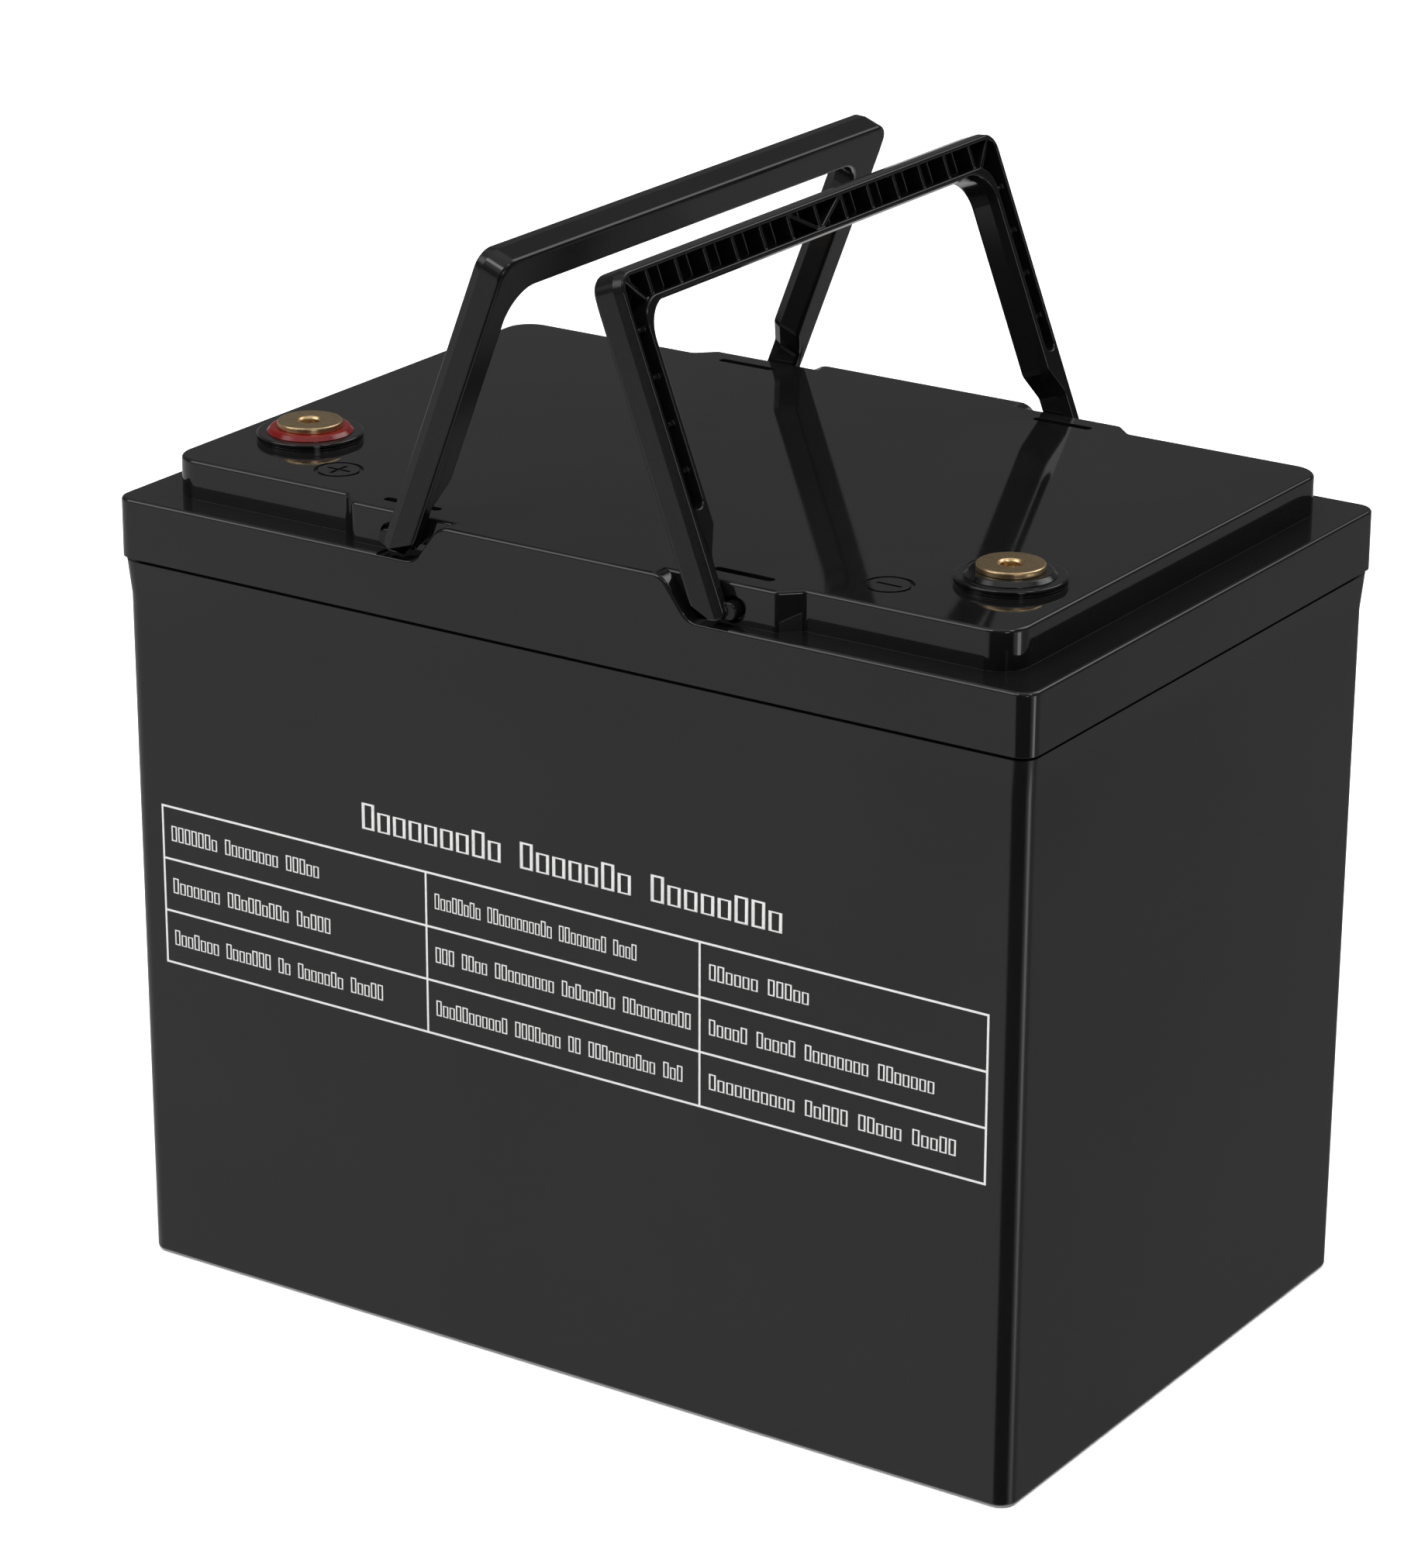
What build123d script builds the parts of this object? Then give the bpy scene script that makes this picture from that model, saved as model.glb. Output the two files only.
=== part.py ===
from build123d import *
import math
import os

# Lithium iron phosphate battery pack in a moulded box with two fold-down carrying bails.
# Units are millimetres. The origin is the centre of the base, +Z is up, +X runs along the
# long side towards the negative terminal, and -Y is the printed long side.

# ---------------------------------------------------------------- overall sizes
length = 256.0
width = 165.0
height = 210.0  # up to the flat top of the cover, without terminals and bails

# ---------------------------------------------------------------- case
case_wall = 3.05
case_floor = 3.0
corner_radius = 4.5
case_inset = 0.6  # how far the cover's skirt stands out past the case
case_draft_x = 0.55
case_draft_y = 0.75
rim_band_height = 9.0
rim_band_proud = 0.7
base_round = 1.2
neck_inset = 2.2  # the thinner rim that rises inside the skirt
neck_rise = 10.7
neck_corner = 3.5
cavity_corner = 2.0

# ---------------------------------------------------------------- cover
cover_depth = 24.7  # from the flat top down to the lower edge of the skirt
ledge_depth = 9.7  # from the flat top down to the ledge that the bails fold onto
shadow_gap = 1.0
skirt_clearance = 0.3
roof_wall = 3.0
edge_round = 0.9
ledge_width_x = 10.1
ledge_width_y = 9.0
hollow_corner = 4.0
pivot_boss_proud = 4.6
pivot_boss_round = 2.0
boss_end_outer = 16.3  # from the pivot outwards to where the pivot boss has ended
boss_end_run = 4.8
ramp_foot = 9.6  # from the pivot inwards to the foot of the ramp
ramp_run = 7.2
ramp_round = 5.0
foot_pocket_depth = 0.4
foot_pocket_length = 11.0
seal_inset = 0.4
seal_width = 1.2

# ---------------------------------------------------------------- bail pivots
pivot_from_end = 80.2
pivot_below_top = 6.3
bore_radius = 2.28
bore_mouth_radius = 3.3
bore_mouth_depth = 1.6
pin_clearance = 0.08
barb_proud = 0.22
barb_length = 1.5
barb_clearance = 0.3
flex_slot_length = 16.3
flex_slot_width = 2.6
flex_slot_behind = 5.3
flex_slot_depth = 10.6
flex_slot_shift = 1.4

# ---------------------------------------------------------------- bails
bail_lean = 21.0  # degrees from upright, towards the middle of the cover
bail_end_gap = 0.2  # from the folded grip to the end of the cover
bail_fold_gap = 0.5  # from the folded grip to the plateau
bail_back = 0.3  # ribbed side, measured from the pivot axis
bail_front = 8.5  # smooth side, measured from the pivot axis
bail_side_gap = 0.2  # from the outer side of a leg to the side of the cover
bail_boss_gap = 0.4
bail_wall_gap = 0.6
bail_skin = 2.4
bail_rim = 1.8
bail_leg_rim = 2.1
bail_rib = 1.2
bail_rib_sink = 0.8
bail_leg_rib_sink = 1.4
bail_grip_bays = 12
bail_foot_drop = 1.2
bail_foot_round = 6.3
bail_heel_round = 1.6
bail_outer_corner = 5.0
bail_inner_corner = 8.0
bail_bevel_run = 2.4
bail_bevel_width = 0.7
jog_start = 12.5
jog_end = 19.5
jog_round = 3.0
leg_channel_start = 24.0
leg_rib_pitch = 11.0
leg_rib_start = 8.8

# ---------------------------------------------------------------- terminals
terminal_from_end = 29.1
terminal_from_side = 40.1
terminal_boss_radius = 13.0
terminal_boss_height = 1.9
terminal_boss_round = 0.4
boss_groove_low = 0.7
boss_groove_height = 0.4
boss_groove_depth = 0.5
ring_radius = 10.75
ring_top_radius = 9.6
ring_height = 1.2
head_radius = 8.0
head_height = 1.5
head_chamfer = 0.3
shank_radius = 6.0
shank_clearance = 0.1
shank_below_roof = 15.0
thread_radius = 2.5
thread_depth = 12.0
lower_thread_depth = 8.0
mouth_radius = 3.1
o_ring_section = 0.78
o_ring_clearance = 0.27
o_ring_seat_depth = 1.6
lock_nut_flats = 20.0
lock_nut_height = 4.0
mark_radius = 6.0
mark_line = 1.0
mark_depth = 0.5
mark_arm_share = 0.55
mark_shift_x = 21.6
mark_shift_y = 17.0

# ---------------------------------------------------------------- cell stack
cell_count = 4
floor_pad = 3.0
end_pad = 4.0
side_pad = 1.5
pad_clearance = 0.2
pad_corner_gap = 0.1
wiring_room = 44.4
electronics_room = 58.1
cell_spacer = 0.5
end_plate = 1.0
cell_corner = 3.0
cell_edge = 1.5
spacer_inset = 2.0
end_plate_inset = 1.0
post_offset_share = 0.27
post_radius = 9.0
post_height = 2.0
stud_radius = 3.0
stud_height = 10.0
vent_length = 22.0
vent_width = 12.0
vent_depth = 0.4
strap_width = 12.0
strap_thickness = 0.6
strap_shift = 50.0
busbar_thickness = 2.0
busbar_width = 22.0
busbar_corner = 4.0
stud_nut_flats = 10.0
stud_nut_height = 5.0
cover_sheet = 1.0
cover_sheet_margin = 4.0
end_block_gap = 6.0

# ---------------------------------------------------------------- battery management board
bms_length = 96.0
bms_width = 62.0
bms_tray_thickness = 1.6
bms_standoff = 6.0
bms_board = 1.6
bms_plate = 3.0
bms_tray_margin = 4.0
mosfet_size = (10.0, 9.0, 4.4)
mosfet_count = 8
mosfet_pitch = 14.0
mosfet_row_y = 14.0
bms_hole_inset = 5.0
bms_plate_length = 54.0
bms_groove_count = 9
bms_groove_width = 2.0
bms_pad_from_end = 13.0
bms_pad_y = 20.0
bms_pad_height = 1.2
bms_pad_length = 8.0
bms_pad_width = 10.0
bms_connector_depth = 6.0
bms_connector_height = 6.0
bms_connector_inset = 1.0
m3_radius = 1.5
m3_head_radius = 2.75
m3_head_height = 2.0
m3_end_gap = 0.2
hole_clearance = 0.2

# ---------------------------------------------------------------- leads
cable_radius = 3.4
solder_run = 3.0
lead_radius = 0.9
lead_pitch = 4.0
lead_drop_run = 27.7  # from the end of the level run to the drop beside the busbars
lead_drop_gap = 4.0
lead_solder_inset = 2.5
solder_gap = 0.05
lug_thickness = 2.0
lug_radius = 6.5
lug_neck = 3.0
lug_barrel_length = 14.0
lug_barrel_wall = 1.0
lug_screw_head = 4.0
lug_screw_flats = 10.0
lug_screw_reach = 6.0
lug_web = 4.4
arc_share = 0.45

# ---------------------------------------------------------------- worked-out sizes
ledge_z = height - ledge_depth
plateau_corner = bail_inner_corner - bail_fold_gap
skirt_z = height - cover_depth
shoulder_z = skirt_z - shadow_gap
neck_top = shoulder_z + neck_rise
underside_z = ledge_z - roof_wall
roof_underside = height - roof_wall

case_length = length - 2 * case_inset
case_width = width - 2 * case_inset
body_length = case_length - 2 * rim_band_proud
body_width = case_width - 2 * rim_band_proud
base_length = body_length - 2 * case_draft_x
base_width = body_width - 2 * case_draft_y
cavity_length = base_length - 2 * case_wall
cavity_width = base_width - 2 * case_wall
neck_length = case_length - 2 * neck_inset
neck_width = case_width - 2 * neck_inset

plateau_x = length / 2 - ledge_width_x
plateau_y = width / 2 - ledge_width_y
boss_y = plateau_y + pivot_boss_proud
pivot_x = length / 2 - pivot_from_end
pivot_z = height - pivot_below_top
boss_end_x = pivot_x + boss_end_outer
ramp_foot_x = pivot_x - ramp_foot
ramp_head_x = ramp_foot_x - ramp_run
slot_y = boss_y - flex_slot_behind - flex_slot_width / 2
slot_x = pivot_x - flex_slot_shift

pin_radius = bore_radius - pin_clearance
barb_radius = bore_radius + barb_proud
bail_reach = pivot_from_end - bail_end_gap
bail_grip_depth = ledge_width_x - bail_end_gap - bail_fold_gap
leg_outer = width / 2 - bail_side_gap
leg_inner_low = boss_y + bail_boss_gap
leg_inner_high = plateau_y + bail_wall_gap
grip_inner = bail_reach - bail_grip_depth
pin_end = slot_y - flex_slot_width / 2 + barb_clearance

terminal_x = length / 2 - terminal_from_end
terminal_y = -(width / 2 - terminal_from_side)
boss_top = height + terminal_boss_height
ring_top = boss_top + ring_height
terminal_top = ring_top + head_height
shank_bottom = roof_underside - shank_below_roof
thread_bottom = terminal_top - thread_depth
o_ring_radius = shank_radius + o_ring_clearance + o_ring_section
o_ring_seat_radius = o_ring_radius + o_ring_section + o_ring_clearance
busbar_hole = stud_radius + hole_clearance

stack_half = cavity_width / 2 - pad_clearance - side_pad - strap_thickness
cell_space = 2 * (stack_half - end_plate) - (cell_count - 1) * cell_spacer
cell_thickness = cell_space / cell_count
cell_pitch = cell_thickness + cell_spacer
cell_x0 = -cavity_length / 2 + end_pad + pad_clearance
cell_x1 = cavity_length / 2 - wiring_room - pad_clearance
cell_z0 = case_floor + floor_pad + strap_thickness
cell_z1 = neck_top - electronics_room
pad_z = case_floor + floor_pad + pad_corner_gap
cell_mid_x = (cell_x0 + cell_x1) / 2
cell_mid_z = (cell_z0 + cell_z1) / 2
post_offset = (cell_z1 - cell_z0) * post_offset_share
post_face = cell_x1 + post_height
busbar_face = post_face + busbar_thickness
lug_face = busbar_face + lug_thickness
stud_end = post_face + stud_height
sheet_x = stud_end + pad_clearance

tray_z = cell_z1 + strap_thickness
board_z = tray_z + bms_tray_thickness + bms_standoff
plate_z = board_z + bms_board + mosfet_size[2]
bms_x = cell_mid_x
board_top = board_z + bms_board
bms_pad_x = bms_x + bms_length / 2 - bms_pad_from_end
connector_x = bms_x + bms_length / 2 - bms_connector_inset
cable_on_pad_z = board_top + bms_pad_height + cable_radius + solder_gap
lug_axis_z = shank_bottom - cable_radius - lug_barrel_wall
lug_axis_x = busbar_face + cable_radius + lug_barrel_wall
lug_depth = lug_radius + lug_neck
lug_mouth = lug_radius + lug_barrel_length
hole_x = bms_length / 2 - bms_hole_inset
hole_y = bms_width / 2 - bms_hole_inset


# ---------------------------------------------------------------- helpers
def block(x0, x1, y0, y1, z0, z1):
    """A plain box from its lowest to its highest corner."""
    centre = Pos((x0 + x1) / 2, (y0 + y1) / 2, (z0 + z1) / 2)
    return centre * Box(x1 - x0, y1 - y0, z1 - z0)


def rounded_block(size_x, size_y, z0, z1, radius):
    """An upright block with rounded vertical corners, centred on the Z axis."""
    outline = Pos(0, 0, z0) * RectangleRounded(size_x, size_y, radius)
    return extrude(outline, z1 - z0)


def frame_block(size_x, size_y, wall, z0, z1, radius):
    """A rounded rectangular ring."""
    outer = rounded_block(size_x, size_y, z0, z1, radius)
    inner = rounded_block(size_x - 2 * wall, size_y - 2 * wall, z0 - 1, z1 + 1, radius - wall / 2)
    return outer - inner


def rod(radius, z0, z1, x=0.0, y=0.0):
    """A cylinder along Z."""
    return Pos(x, y, (z0 + z1) / 2) * Cylinder(radius, z1 - z0)


def rod_x(radius, x0, x1, y, z):
    """A cylinder along X."""
    return Pos((x0 + x1) / 2, y, z) * Rot(0, 90, 0) * Cylinder(radius, x1 - x0)


def rod_y(radius, y0, y1, x, z):
    """A cylinder along Y."""
    return Pos(x, (y0 + y1) / 2, z) * Rot(90, 0, 0) * Cylinder(radius, abs(y1 - y0))


def hexagon(flats, z0, z1, x, y):
    """A hexagonal prism along Z, given across its flats."""
    outline = Pos(x, y, z0) * RegularPolygon(flats / 2, 6, major_radius=False)
    return extrude(outline, z1 - z0)


def hexagon_x(flats, x0, x1, y, z):
    """A hexagonal prism along X, given across its flats."""
    prism = extrude(RegularPolygon(flats / 2, 6, major_radius=False), x1 - x0)
    return Pos(x0, y, z) * Rot(0, 90, 0) * prism


def filleted_face(points, radii):
    """A flat face bounded by straight lines with rounded corners."""
    return make_face(FilletPolyline(*points, radius=radii, close=True))


def mirrored(points):
    """The points of a half outline followed by their mirror image in the first axis."""
    return points + [(-a, b) for a, b in reversed(points)]


def save(name, *solids):
    """Write one node, as one solid or as a group of separate solids."""
    shape = solids[0] if len(solids) == 1 else Compound(children=[Part() + s for s in solids])
    export_step(shape, os.path.join("parts", name + ".step"))


def arc_radii(points):
    """The largest tangent arcs that the runs beside each corner allow."""
    radii = []
    for before, corner, after in zip(points, points[1:], points[2:]):
        run_in = Vector(*corner) - Vector(*before)
        run_out = Vector(*after) - Vector(*corner)
        half_turn = math.radians(run_in.get_angle(run_out)) / 2
        radii.append(arc_share * min(run_in.length, run_out.length) / math.tan(half_turn))
    return radii


def tube(name, points, section):
    """A round lead along straight runs joined by tangent arcs."""
    radii = arc_radii(points)
    path = FilletPolyline(*points, radius=radii)
    start = Plane(path @ 0, z_dir=path % 0)
    lead = sweep(start * Circle(section), path)
    expected = math.pi * section**2 * path.length
    ratio = round(lead.volume / expected, 4)
    print(name, round(path.length, 1), "mm, volume ratio", ratio, [round(r, 1) for r in radii])
    return lead


# ---------------------------------------------------------------- case and cover
def make_case():
    """Open box with a slightly drafted body, a rim band and a thin neck."""
    base = RectangleRounded(base_length, base_width, corner_radius)
    band_z = shoulder_z - rim_band_height
    top = Pos(0, 0, band_z) * RectangleRounded(body_length, body_width, corner_radius)
    body = loft([base.face(), top.face()])
    body = fillet(body.edges().group_by(Axis.Z)[0], base_round)
    low = Pos(0, 0, band_z) * RectangleRounded(body_length, body_width, corner_radius)
    high = Pos(0, 0, shoulder_z) * RectangleRounded(case_length, case_width, corner_radius)
    band = loft([low.face(), high.face()])
    neck = rounded_block(neck_length, neck_width, shoulder_z, neck_top, neck_corner)
    cavity = rounded_block(cavity_length, cavity_width, case_floor, neck_top + 1, cavity_corner)
    return body + band + neck - cavity


def ramp_profile():
    """Side view of the flange with the raised full-width bridge between the bails."""
    half = [
        (length / 2, skirt_z),
        (length / 2, ledge_z),
        (ramp_foot_x, ledge_z),
        (ramp_head_x, height),
    ]
    radii = [0, 0, ramp_round, ramp_round]
    return filleted_face(mirrored(half), radii + radii[::-1])


def plateau_outline():
    """Plan view of the raised top with its four pivot bosses."""
    quarter = [
        (plateau_x, plateau_y),
        (boss_end_x, plateau_y),
        (boss_end_x - boss_end_run, boss_y),
    ]
    half = mirrored(quarter)
    points = half + [(-x, -y) for x, y in half]
    radii = [plateau_corner] + [pivot_boss_round] * 4 + [plateau_corner]
    return filleted_face(points, radii * 2)


def polarity_mark(x, positive):
    """Engraved circle with a plus or a minus in it."""
    z0 = height - mark_depth
    y = terminal_y - mark_shift_y
    ring = rod(mark_radius, z0, height + 1, x, y) - rod(mark_radius - mark_line, z0, height + 1, x, y)
    arm = mark_radius * mark_arm_share
    half = mark_line / 2
    mark = ring + block(x - arm, x + arm, y - half, y + half, z0, height + 1)
    if positive:
        mark += block(x - half, x + half, y - arm, y + arm, z0, height + 1)
    return mark


def foot_pocket(sx, sy):
    """Cut for a bail's foot: a shallow flat that runs into the ramp in a smooth curve."""
    floor_z = ledge_z - foot_pocket_depth
    slope = ramp_run / ledge_depth
    points = [
        (ramp_foot_x + foot_pocket_length, height),
        (ramp_foot_x + foot_pocket_length, floor_z),
        (ramp_foot_x + foot_pocket_depth * slope, floor_z),
        (ramp_head_x, height),
    ]
    profile = filleted_face([(sx * x, z) for x, z in points], [0, 0, ramp_round, 0])
    y_a, y_b = sorted((sy * boss_y, sy * (width / 2 + 1)))
    cut = extrude(Plane.XZ * profile, width, both=True)
    return cut & block(-length, length, y_a, y_b, skirt_z, height + 1)


def make_cover():
    """Cover with skirt, ledge, raised plateau, pivot bosses and terminal bosses."""
    flange = extrude(Plane.XZ * ramp_profile(), width, both=True)
    flange &= rounded_block(length, width, skirt_z, height, corner_radius)
    rim = [
        e
        for e in flange.edges()
        if e.center().Z > ledge_z - 0.01
        and (abs(e.center().Y) > 1 or abs(e.center().X) > length / 2 - 1)
    ]
    flange = fillet(rim, edge_round)
    plateau = extrude(Pos(0, 0, ledge_z - 1) * plateau_outline(), ledge_depth + 1)
    plateau = fillet(plateau.edges().group_by(Axis.Z)[-1], edge_round)
    cover = flange + plateau

    inside_x = neck_length + 2 * skirt_clearance
    inside_y = neck_width + 2 * skirt_clearance
    inside_corner = neck_corner + skirt_clearance
    cover -= rounded_block(inside_x, inside_y, skirt_z - 1, underside_z, inside_corner)
    hollow_x = plateau_x - roof_wall
    hollow_y = plateau_y - roof_wall
    hollow = rounded_block(2 * hollow_x, 2 * hollow_y, underside_z - 1, roof_underside, hollow_corner)
    bridge_x = ramp_head_x - roof_wall
    bridge_y = width / 2 - roof_wall
    hollow += block(-bridge_x, bridge_x, -bridge_y, bridge_y, underside_z - 1, roof_underside)
    for sx in (-1, 1):
        for sy in (-1, 1):
            x_a, x_b = sorted((sx * bridge_x, sx * (boss_end_x - 1)))
            y_a, y_b = sorted((sy * (slot_y - flex_slot_width / 2 - roof_wall), sy * width / 2))
            hollow -= block(x_a, x_b, y_a, y_b, underside_z - 2, roof_underside + 1)
    cover -= hollow

    slot = SlotOverall(flex_slot_length, flex_slot_width)
    for sx in (-1, 1):
        for sy in (-1, 1):
            cut = extrude(Pos(sx * slot_x, sy * slot_y, height - flex_slot_depth) * slot, 20)
            cover -= cut
            cover -= rod_y(bore_radius, sy * slot_y, sy * (width / 2 + 1), sx * pivot_x, pivot_z)
            mouth_y = sy * (boss_y - bore_mouth_depth)
            mouth = rod_y(bore_mouth_radius, mouth_y, sy * (width / 2 + 1), sx * pivot_x, pivot_z)
            cover -= mouth
            cover -= foot_pocket(sx, sy)

    for x in (-terminal_x, terminal_x):
        boss = rod(terminal_boss_radius, height - 1, boss_top, x, terminal_y)
        boss = fillet(boss.edges().group_by(Axis.Z)[-1], terminal_boss_round)
        groove_z = height + boss_groove_low
        groove = rod(terminal_boss_radius + 1, groove_z, groove_z + boss_groove_height, x, terminal_y)
        groove -= rod(terminal_boss_radius - boss_groove_depth, height, boss_top, x, terminal_y)
        cover += boss - groove
        cover -= rod(shank_radius + shank_clearance, roof_underside - 1, boss_top + 1, x, terminal_y)
        seat_z = boss_top - o_ring_seat_depth
        cover -= rod(o_ring_seat_radius, seat_z, boss_top + 1, x, terminal_y)
    cover -= polarity_mark(-terminal_x + mark_shift_x, True)
    cover -= polarity_mark(terminal_x - mark_shift_x, False)
    return cover


def make_cover_seal():
    """Bead of sealant between the neck of the case and the underside of the cover."""
    size_x = neck_length - 2 * seal_inset
    size_y = neck_width - 2 * seal_inset
    corner = neck_corner - seal_inset
    return frame_block(size_x, size_y, seal_width, neck_top, underside_z, corner)


# ---------------------------------------------------------------- bails
def bail_outline(inset):
    """Front view of a bail: U shape whose legs step inwards above the pivot bosses."""
    half = [
        (leg_inner_high + inset, grip_inner + inset),
        (leg_inner_high + inset, jog_end),
        (leg_inner_low + inset, jog_start),
        (leg_inner_low + inset, -bail_foot_drop - 5),
        (leg_outer - inset, -bail_foot_drop - 5),
        (leg_outer - inset, bail_reach - inset),
    ]
    radii = [bail_inner_corner, jog_round, jog_round, 0, 0, bail_outer_corner]
    return filleted_face(mirrored(half), radii + radii[::-1])


def bail_channel():
    """Front view of the channel sunk into the ribbed side of a bail."""
    half = [
        (leg_inner_high + bail_leg_rim, grip_inner + bail_rim),
        (leg_inner_high + bail_leg_rim, leg_channel_start),
        (leg_outer - bail_rim, leg_channel_start),
        (leg_outer - bail_rim, bail_reach - bail_rim),
    ]
    end_round = (leg_outer - leg_inner_high - bail_rim - bail_leg_rim) * arc_share
    radii = [bail_inner_corner - bail_rim, end_round, end_round, bail_outer_corner - bail_rim]
    return filleted_face(mirrored(half), radii + radii[::-1])


def bail_ribs():
    """Cross ribs, the pair of slanted ribs in the middle and the corner ribs."""
    x0 = bail_back + bail_rib_sink
    leg_x0 = bail_back + bail_leg_rib_sink
    x1 = bail_front - bail_skin / 2
    rib_low = grip_inner + bail_rim / 2
    rib_high = bail_reach - bail_rim / 2
    half_grip = leg_inner_high - bail_inner_corner / 2
    pitch = 2 * half_grip / bail_grip_bays
    ribs = []
    for i in range(bail_grip_bays + 1):
        y = -half_grip + i * pitch
        ribs.append(block(x0, x1, y - bail_rib / 2, y + bail_rib / 2, rib_low, rib_high))
    rise = rib_high - rib_low - bail_rib
    slant = math.degrees(math.atan2(rise, pitch))
    run = math.hypot(rise, pitch)
    mid_x = (x0 + x1) / 2
    mid_z = (rib_low + rib_high) / 2
    for side in (-1, 1):
        bar = Box(x1 - x0, run, bail_rib)
        ribs.append(Pos(mid_x, side * pitch / 2, mid_z) * Rot(side * slant, 0, 0) * bar)
        corner_y = side * (leg_inner_high + leg_outer - bail_outer_corner + 1) / 2
        bar = Box(x1 - x0, bail_grip_depth + 1, bail_rib)
        ribs.append(Pos(mid_x, corner_y, mid_z) * Rot(side * 45, 0, 0) * bar)
    count = int((grip_inner - leg_channel_start) / leg_rib_pitch)
    for i in range(count):
        z = leg_channel_start + leg_rib_start + i * leg_rib_pitch
        for side in (-1, 1):
            y_a, y_b = sorted((side * (leg_inner_high + 1), side * (leg_outer - 1)))
            ribs.append(block(leg_x0, x1, y_a, y_b, z - bail_rib / 2, z + bail_rib / 2))
    return ribs


def make_bail():
    """One bail, upright on the pivot axis, with its smooth side towards +X."""
    bevel_x = bail_back + bail_bevel_run
    main = extrude(Pos(bevel_x, 0, 0) * (Plane.YZ * bail_outline(0)), bail_front - bevel_x)
    rim_low = Pos(bevel_x, 0, 0) * (Plane.YZ * bail_outline(0))
    taper = math.degrees(math.atan2(bail_bevel_width, bail_bevel_run))
    rim = extrude(rim_low, -bail_bevel_run, taper=taper)
    bail = main + rim
    channel_face = Pos(bail_back - 1, 0, 0) * (Plane.YZ * bail_channel())
    channel = extrude(channel_face, bail_front - bail_skin - bail_back + 1)
    for rib in bail_ribs():
        channel -= rib
    bail -= channel
    side = [
        (bail_front, -bail_foot_drop),
        (bail_front, bail_reach + 1),
        (bail_back, bail_reach + 1),
        (bail_back, -bail_foot_drop),
    ]
    side_face = filleted_face(side, [bail_foot_round, 0, 0, bail_heel_round])
    bail &= extrude(Plane.XZ * side_face, width, both=True)
    return bail


def bail_pins():
    """The two snap pins of a bail, on the pivot axis."""
    pins = []
    root = leg_outer - (leg_outer - leg_inner_low) / 2
    for side in (-1, 1):
        pin = rod_y(pin_radius, side * pin_end, side * root, 0, 0)
        pin += rod_y(barb_radius, side * pin_end, side * (pin_end + barb_length), 0, 0)
        pins.append(pin)
    return pins


def place_left(shape):
    """Lean a bail inwards and set it on the left pivots."""
    return Pos(-pivot_x, 0, pivot_z) * Rot(0, bail_lean, 0) * shape


def place_right(shape):
    """The right bail is the same moulding turned half a turn about Z."""
    return Rot(0, 0, 180) * place_left(shape)


# ---------------------------------------------------------------- terminals
def make_terminal(x):
    """Brass bush with a round head, threaded from above and from below."""
    head = rod(head_radius, ring_top, terminal_top, x, terminal_y)
    head = chamfer(head.edges().group_by(Axis.Z)[-1], head_chamfer)
    bush = head + rod(shank_radius, shank_bottom, ring_top, x, terminal_y)
    bush -= rod(thread_radius, thread_bottom, terminal_top + 1, x, terminal_y)
    depth = mouth_radius - thread_radius
    cone = Cone(thread_radius, mouth_radius, depth)
    bush -= Pos(x, terminal_y, terminal_top - depth / 2) * cone
    lower_top = shank_bottom + lower_thread_depth
    bush -= rod(thread_radius, shank_bottom - 1, lower_top, x, terminal_y)
    return bush


def make_ring(x):
    """Coloured collar between the boss of the cover and the head of the terminal."""
    cone = Cone(ring_radius, ring_top_radius, ring_height)
    ring = Pos(x, terminal_y, boss_top + ring_height / 2) * cone
    return ring - rod(shank_radius + shank_clearance, boss_top - 1, ring_top + 1, x, terminal_y)


def make_o_ring(x):
    """Seal in the seat of a terminal boss."""
    z = boss_top - o_ring_seat_depth / 2
    return Pos(x, terminal_y, z) * Torus(o_ring_radius, o_ring_section)


def make_lock_nut(x):
    """Nut that holds a terminal against the underside of the cover."""
    z0 = roof_underside - lock_nut_height
    nut = hexagon(lock_nut_flats, z0, roof_underside, x, terminal_y)
    return nut - rod(shank_radius + shank_clearance, z0 - 1, roof_underside + 1, x, terminal_y)


def make_lug_screw(x):
    """Screw that clamps a cable lug under a terminal."""
    z1 = shank_bottom - lug_thickness
    head = hexagon(lug_screw_flats, z1 - lug_screw_head, z1, x, terminal_y)
    return head + rod(thread_radius - shank_clearance, z1 - 1, shank_bottom + lug_screw_reach, x, terminal_y)


# ---------------------------------------------------------------- cells
def cell_y(index):
    """Middle of a cell, counted from the printed side."""
    return -(stack_half - end_plate) + cell_thickness / 2 + index * cell_pitch


def make_cell(index):
    """Prismatic can in its wrap, lying with its posts towards +X, with a vent recess."""
    y = cell_y(index)
    half = cell_thickness / 2
    can = block(cell_x0, cell_x1, y - half, y + half, cell_z0, cell_z1)
    can = fillet(can.edges().filter_by(Axis.X), cell_corner)
    can = fillet(can.faces().sort_by(Axis.X)[-1].edges(), cell_edge)
    recess = extrude(SlotOverall(vent_length, vent_width), vent_depth + 1)
    recess = Pos(cell_x1 - vent_depth, y, cell_mid_z) * Rot(0, 90, 0) * recess
    return can - recess


def post_z(upper):
    """Height of an upper or a lower post."""
    return cell_mid_z + (post_offset if upper else -post_offset)


def make_posts(index):
    """The two posts of a cell, each a pad with a stud."""
    posts = []
    for upper in (False, True):
        y = cell_y(index)
        z = post_z(upper)
        pad = rod_x(post_radius, cell_x1, post_face, y, z)
        posts.append(pad + rod_x(stud_radius, post_face, stud_end, y, z))
    return posts


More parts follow.
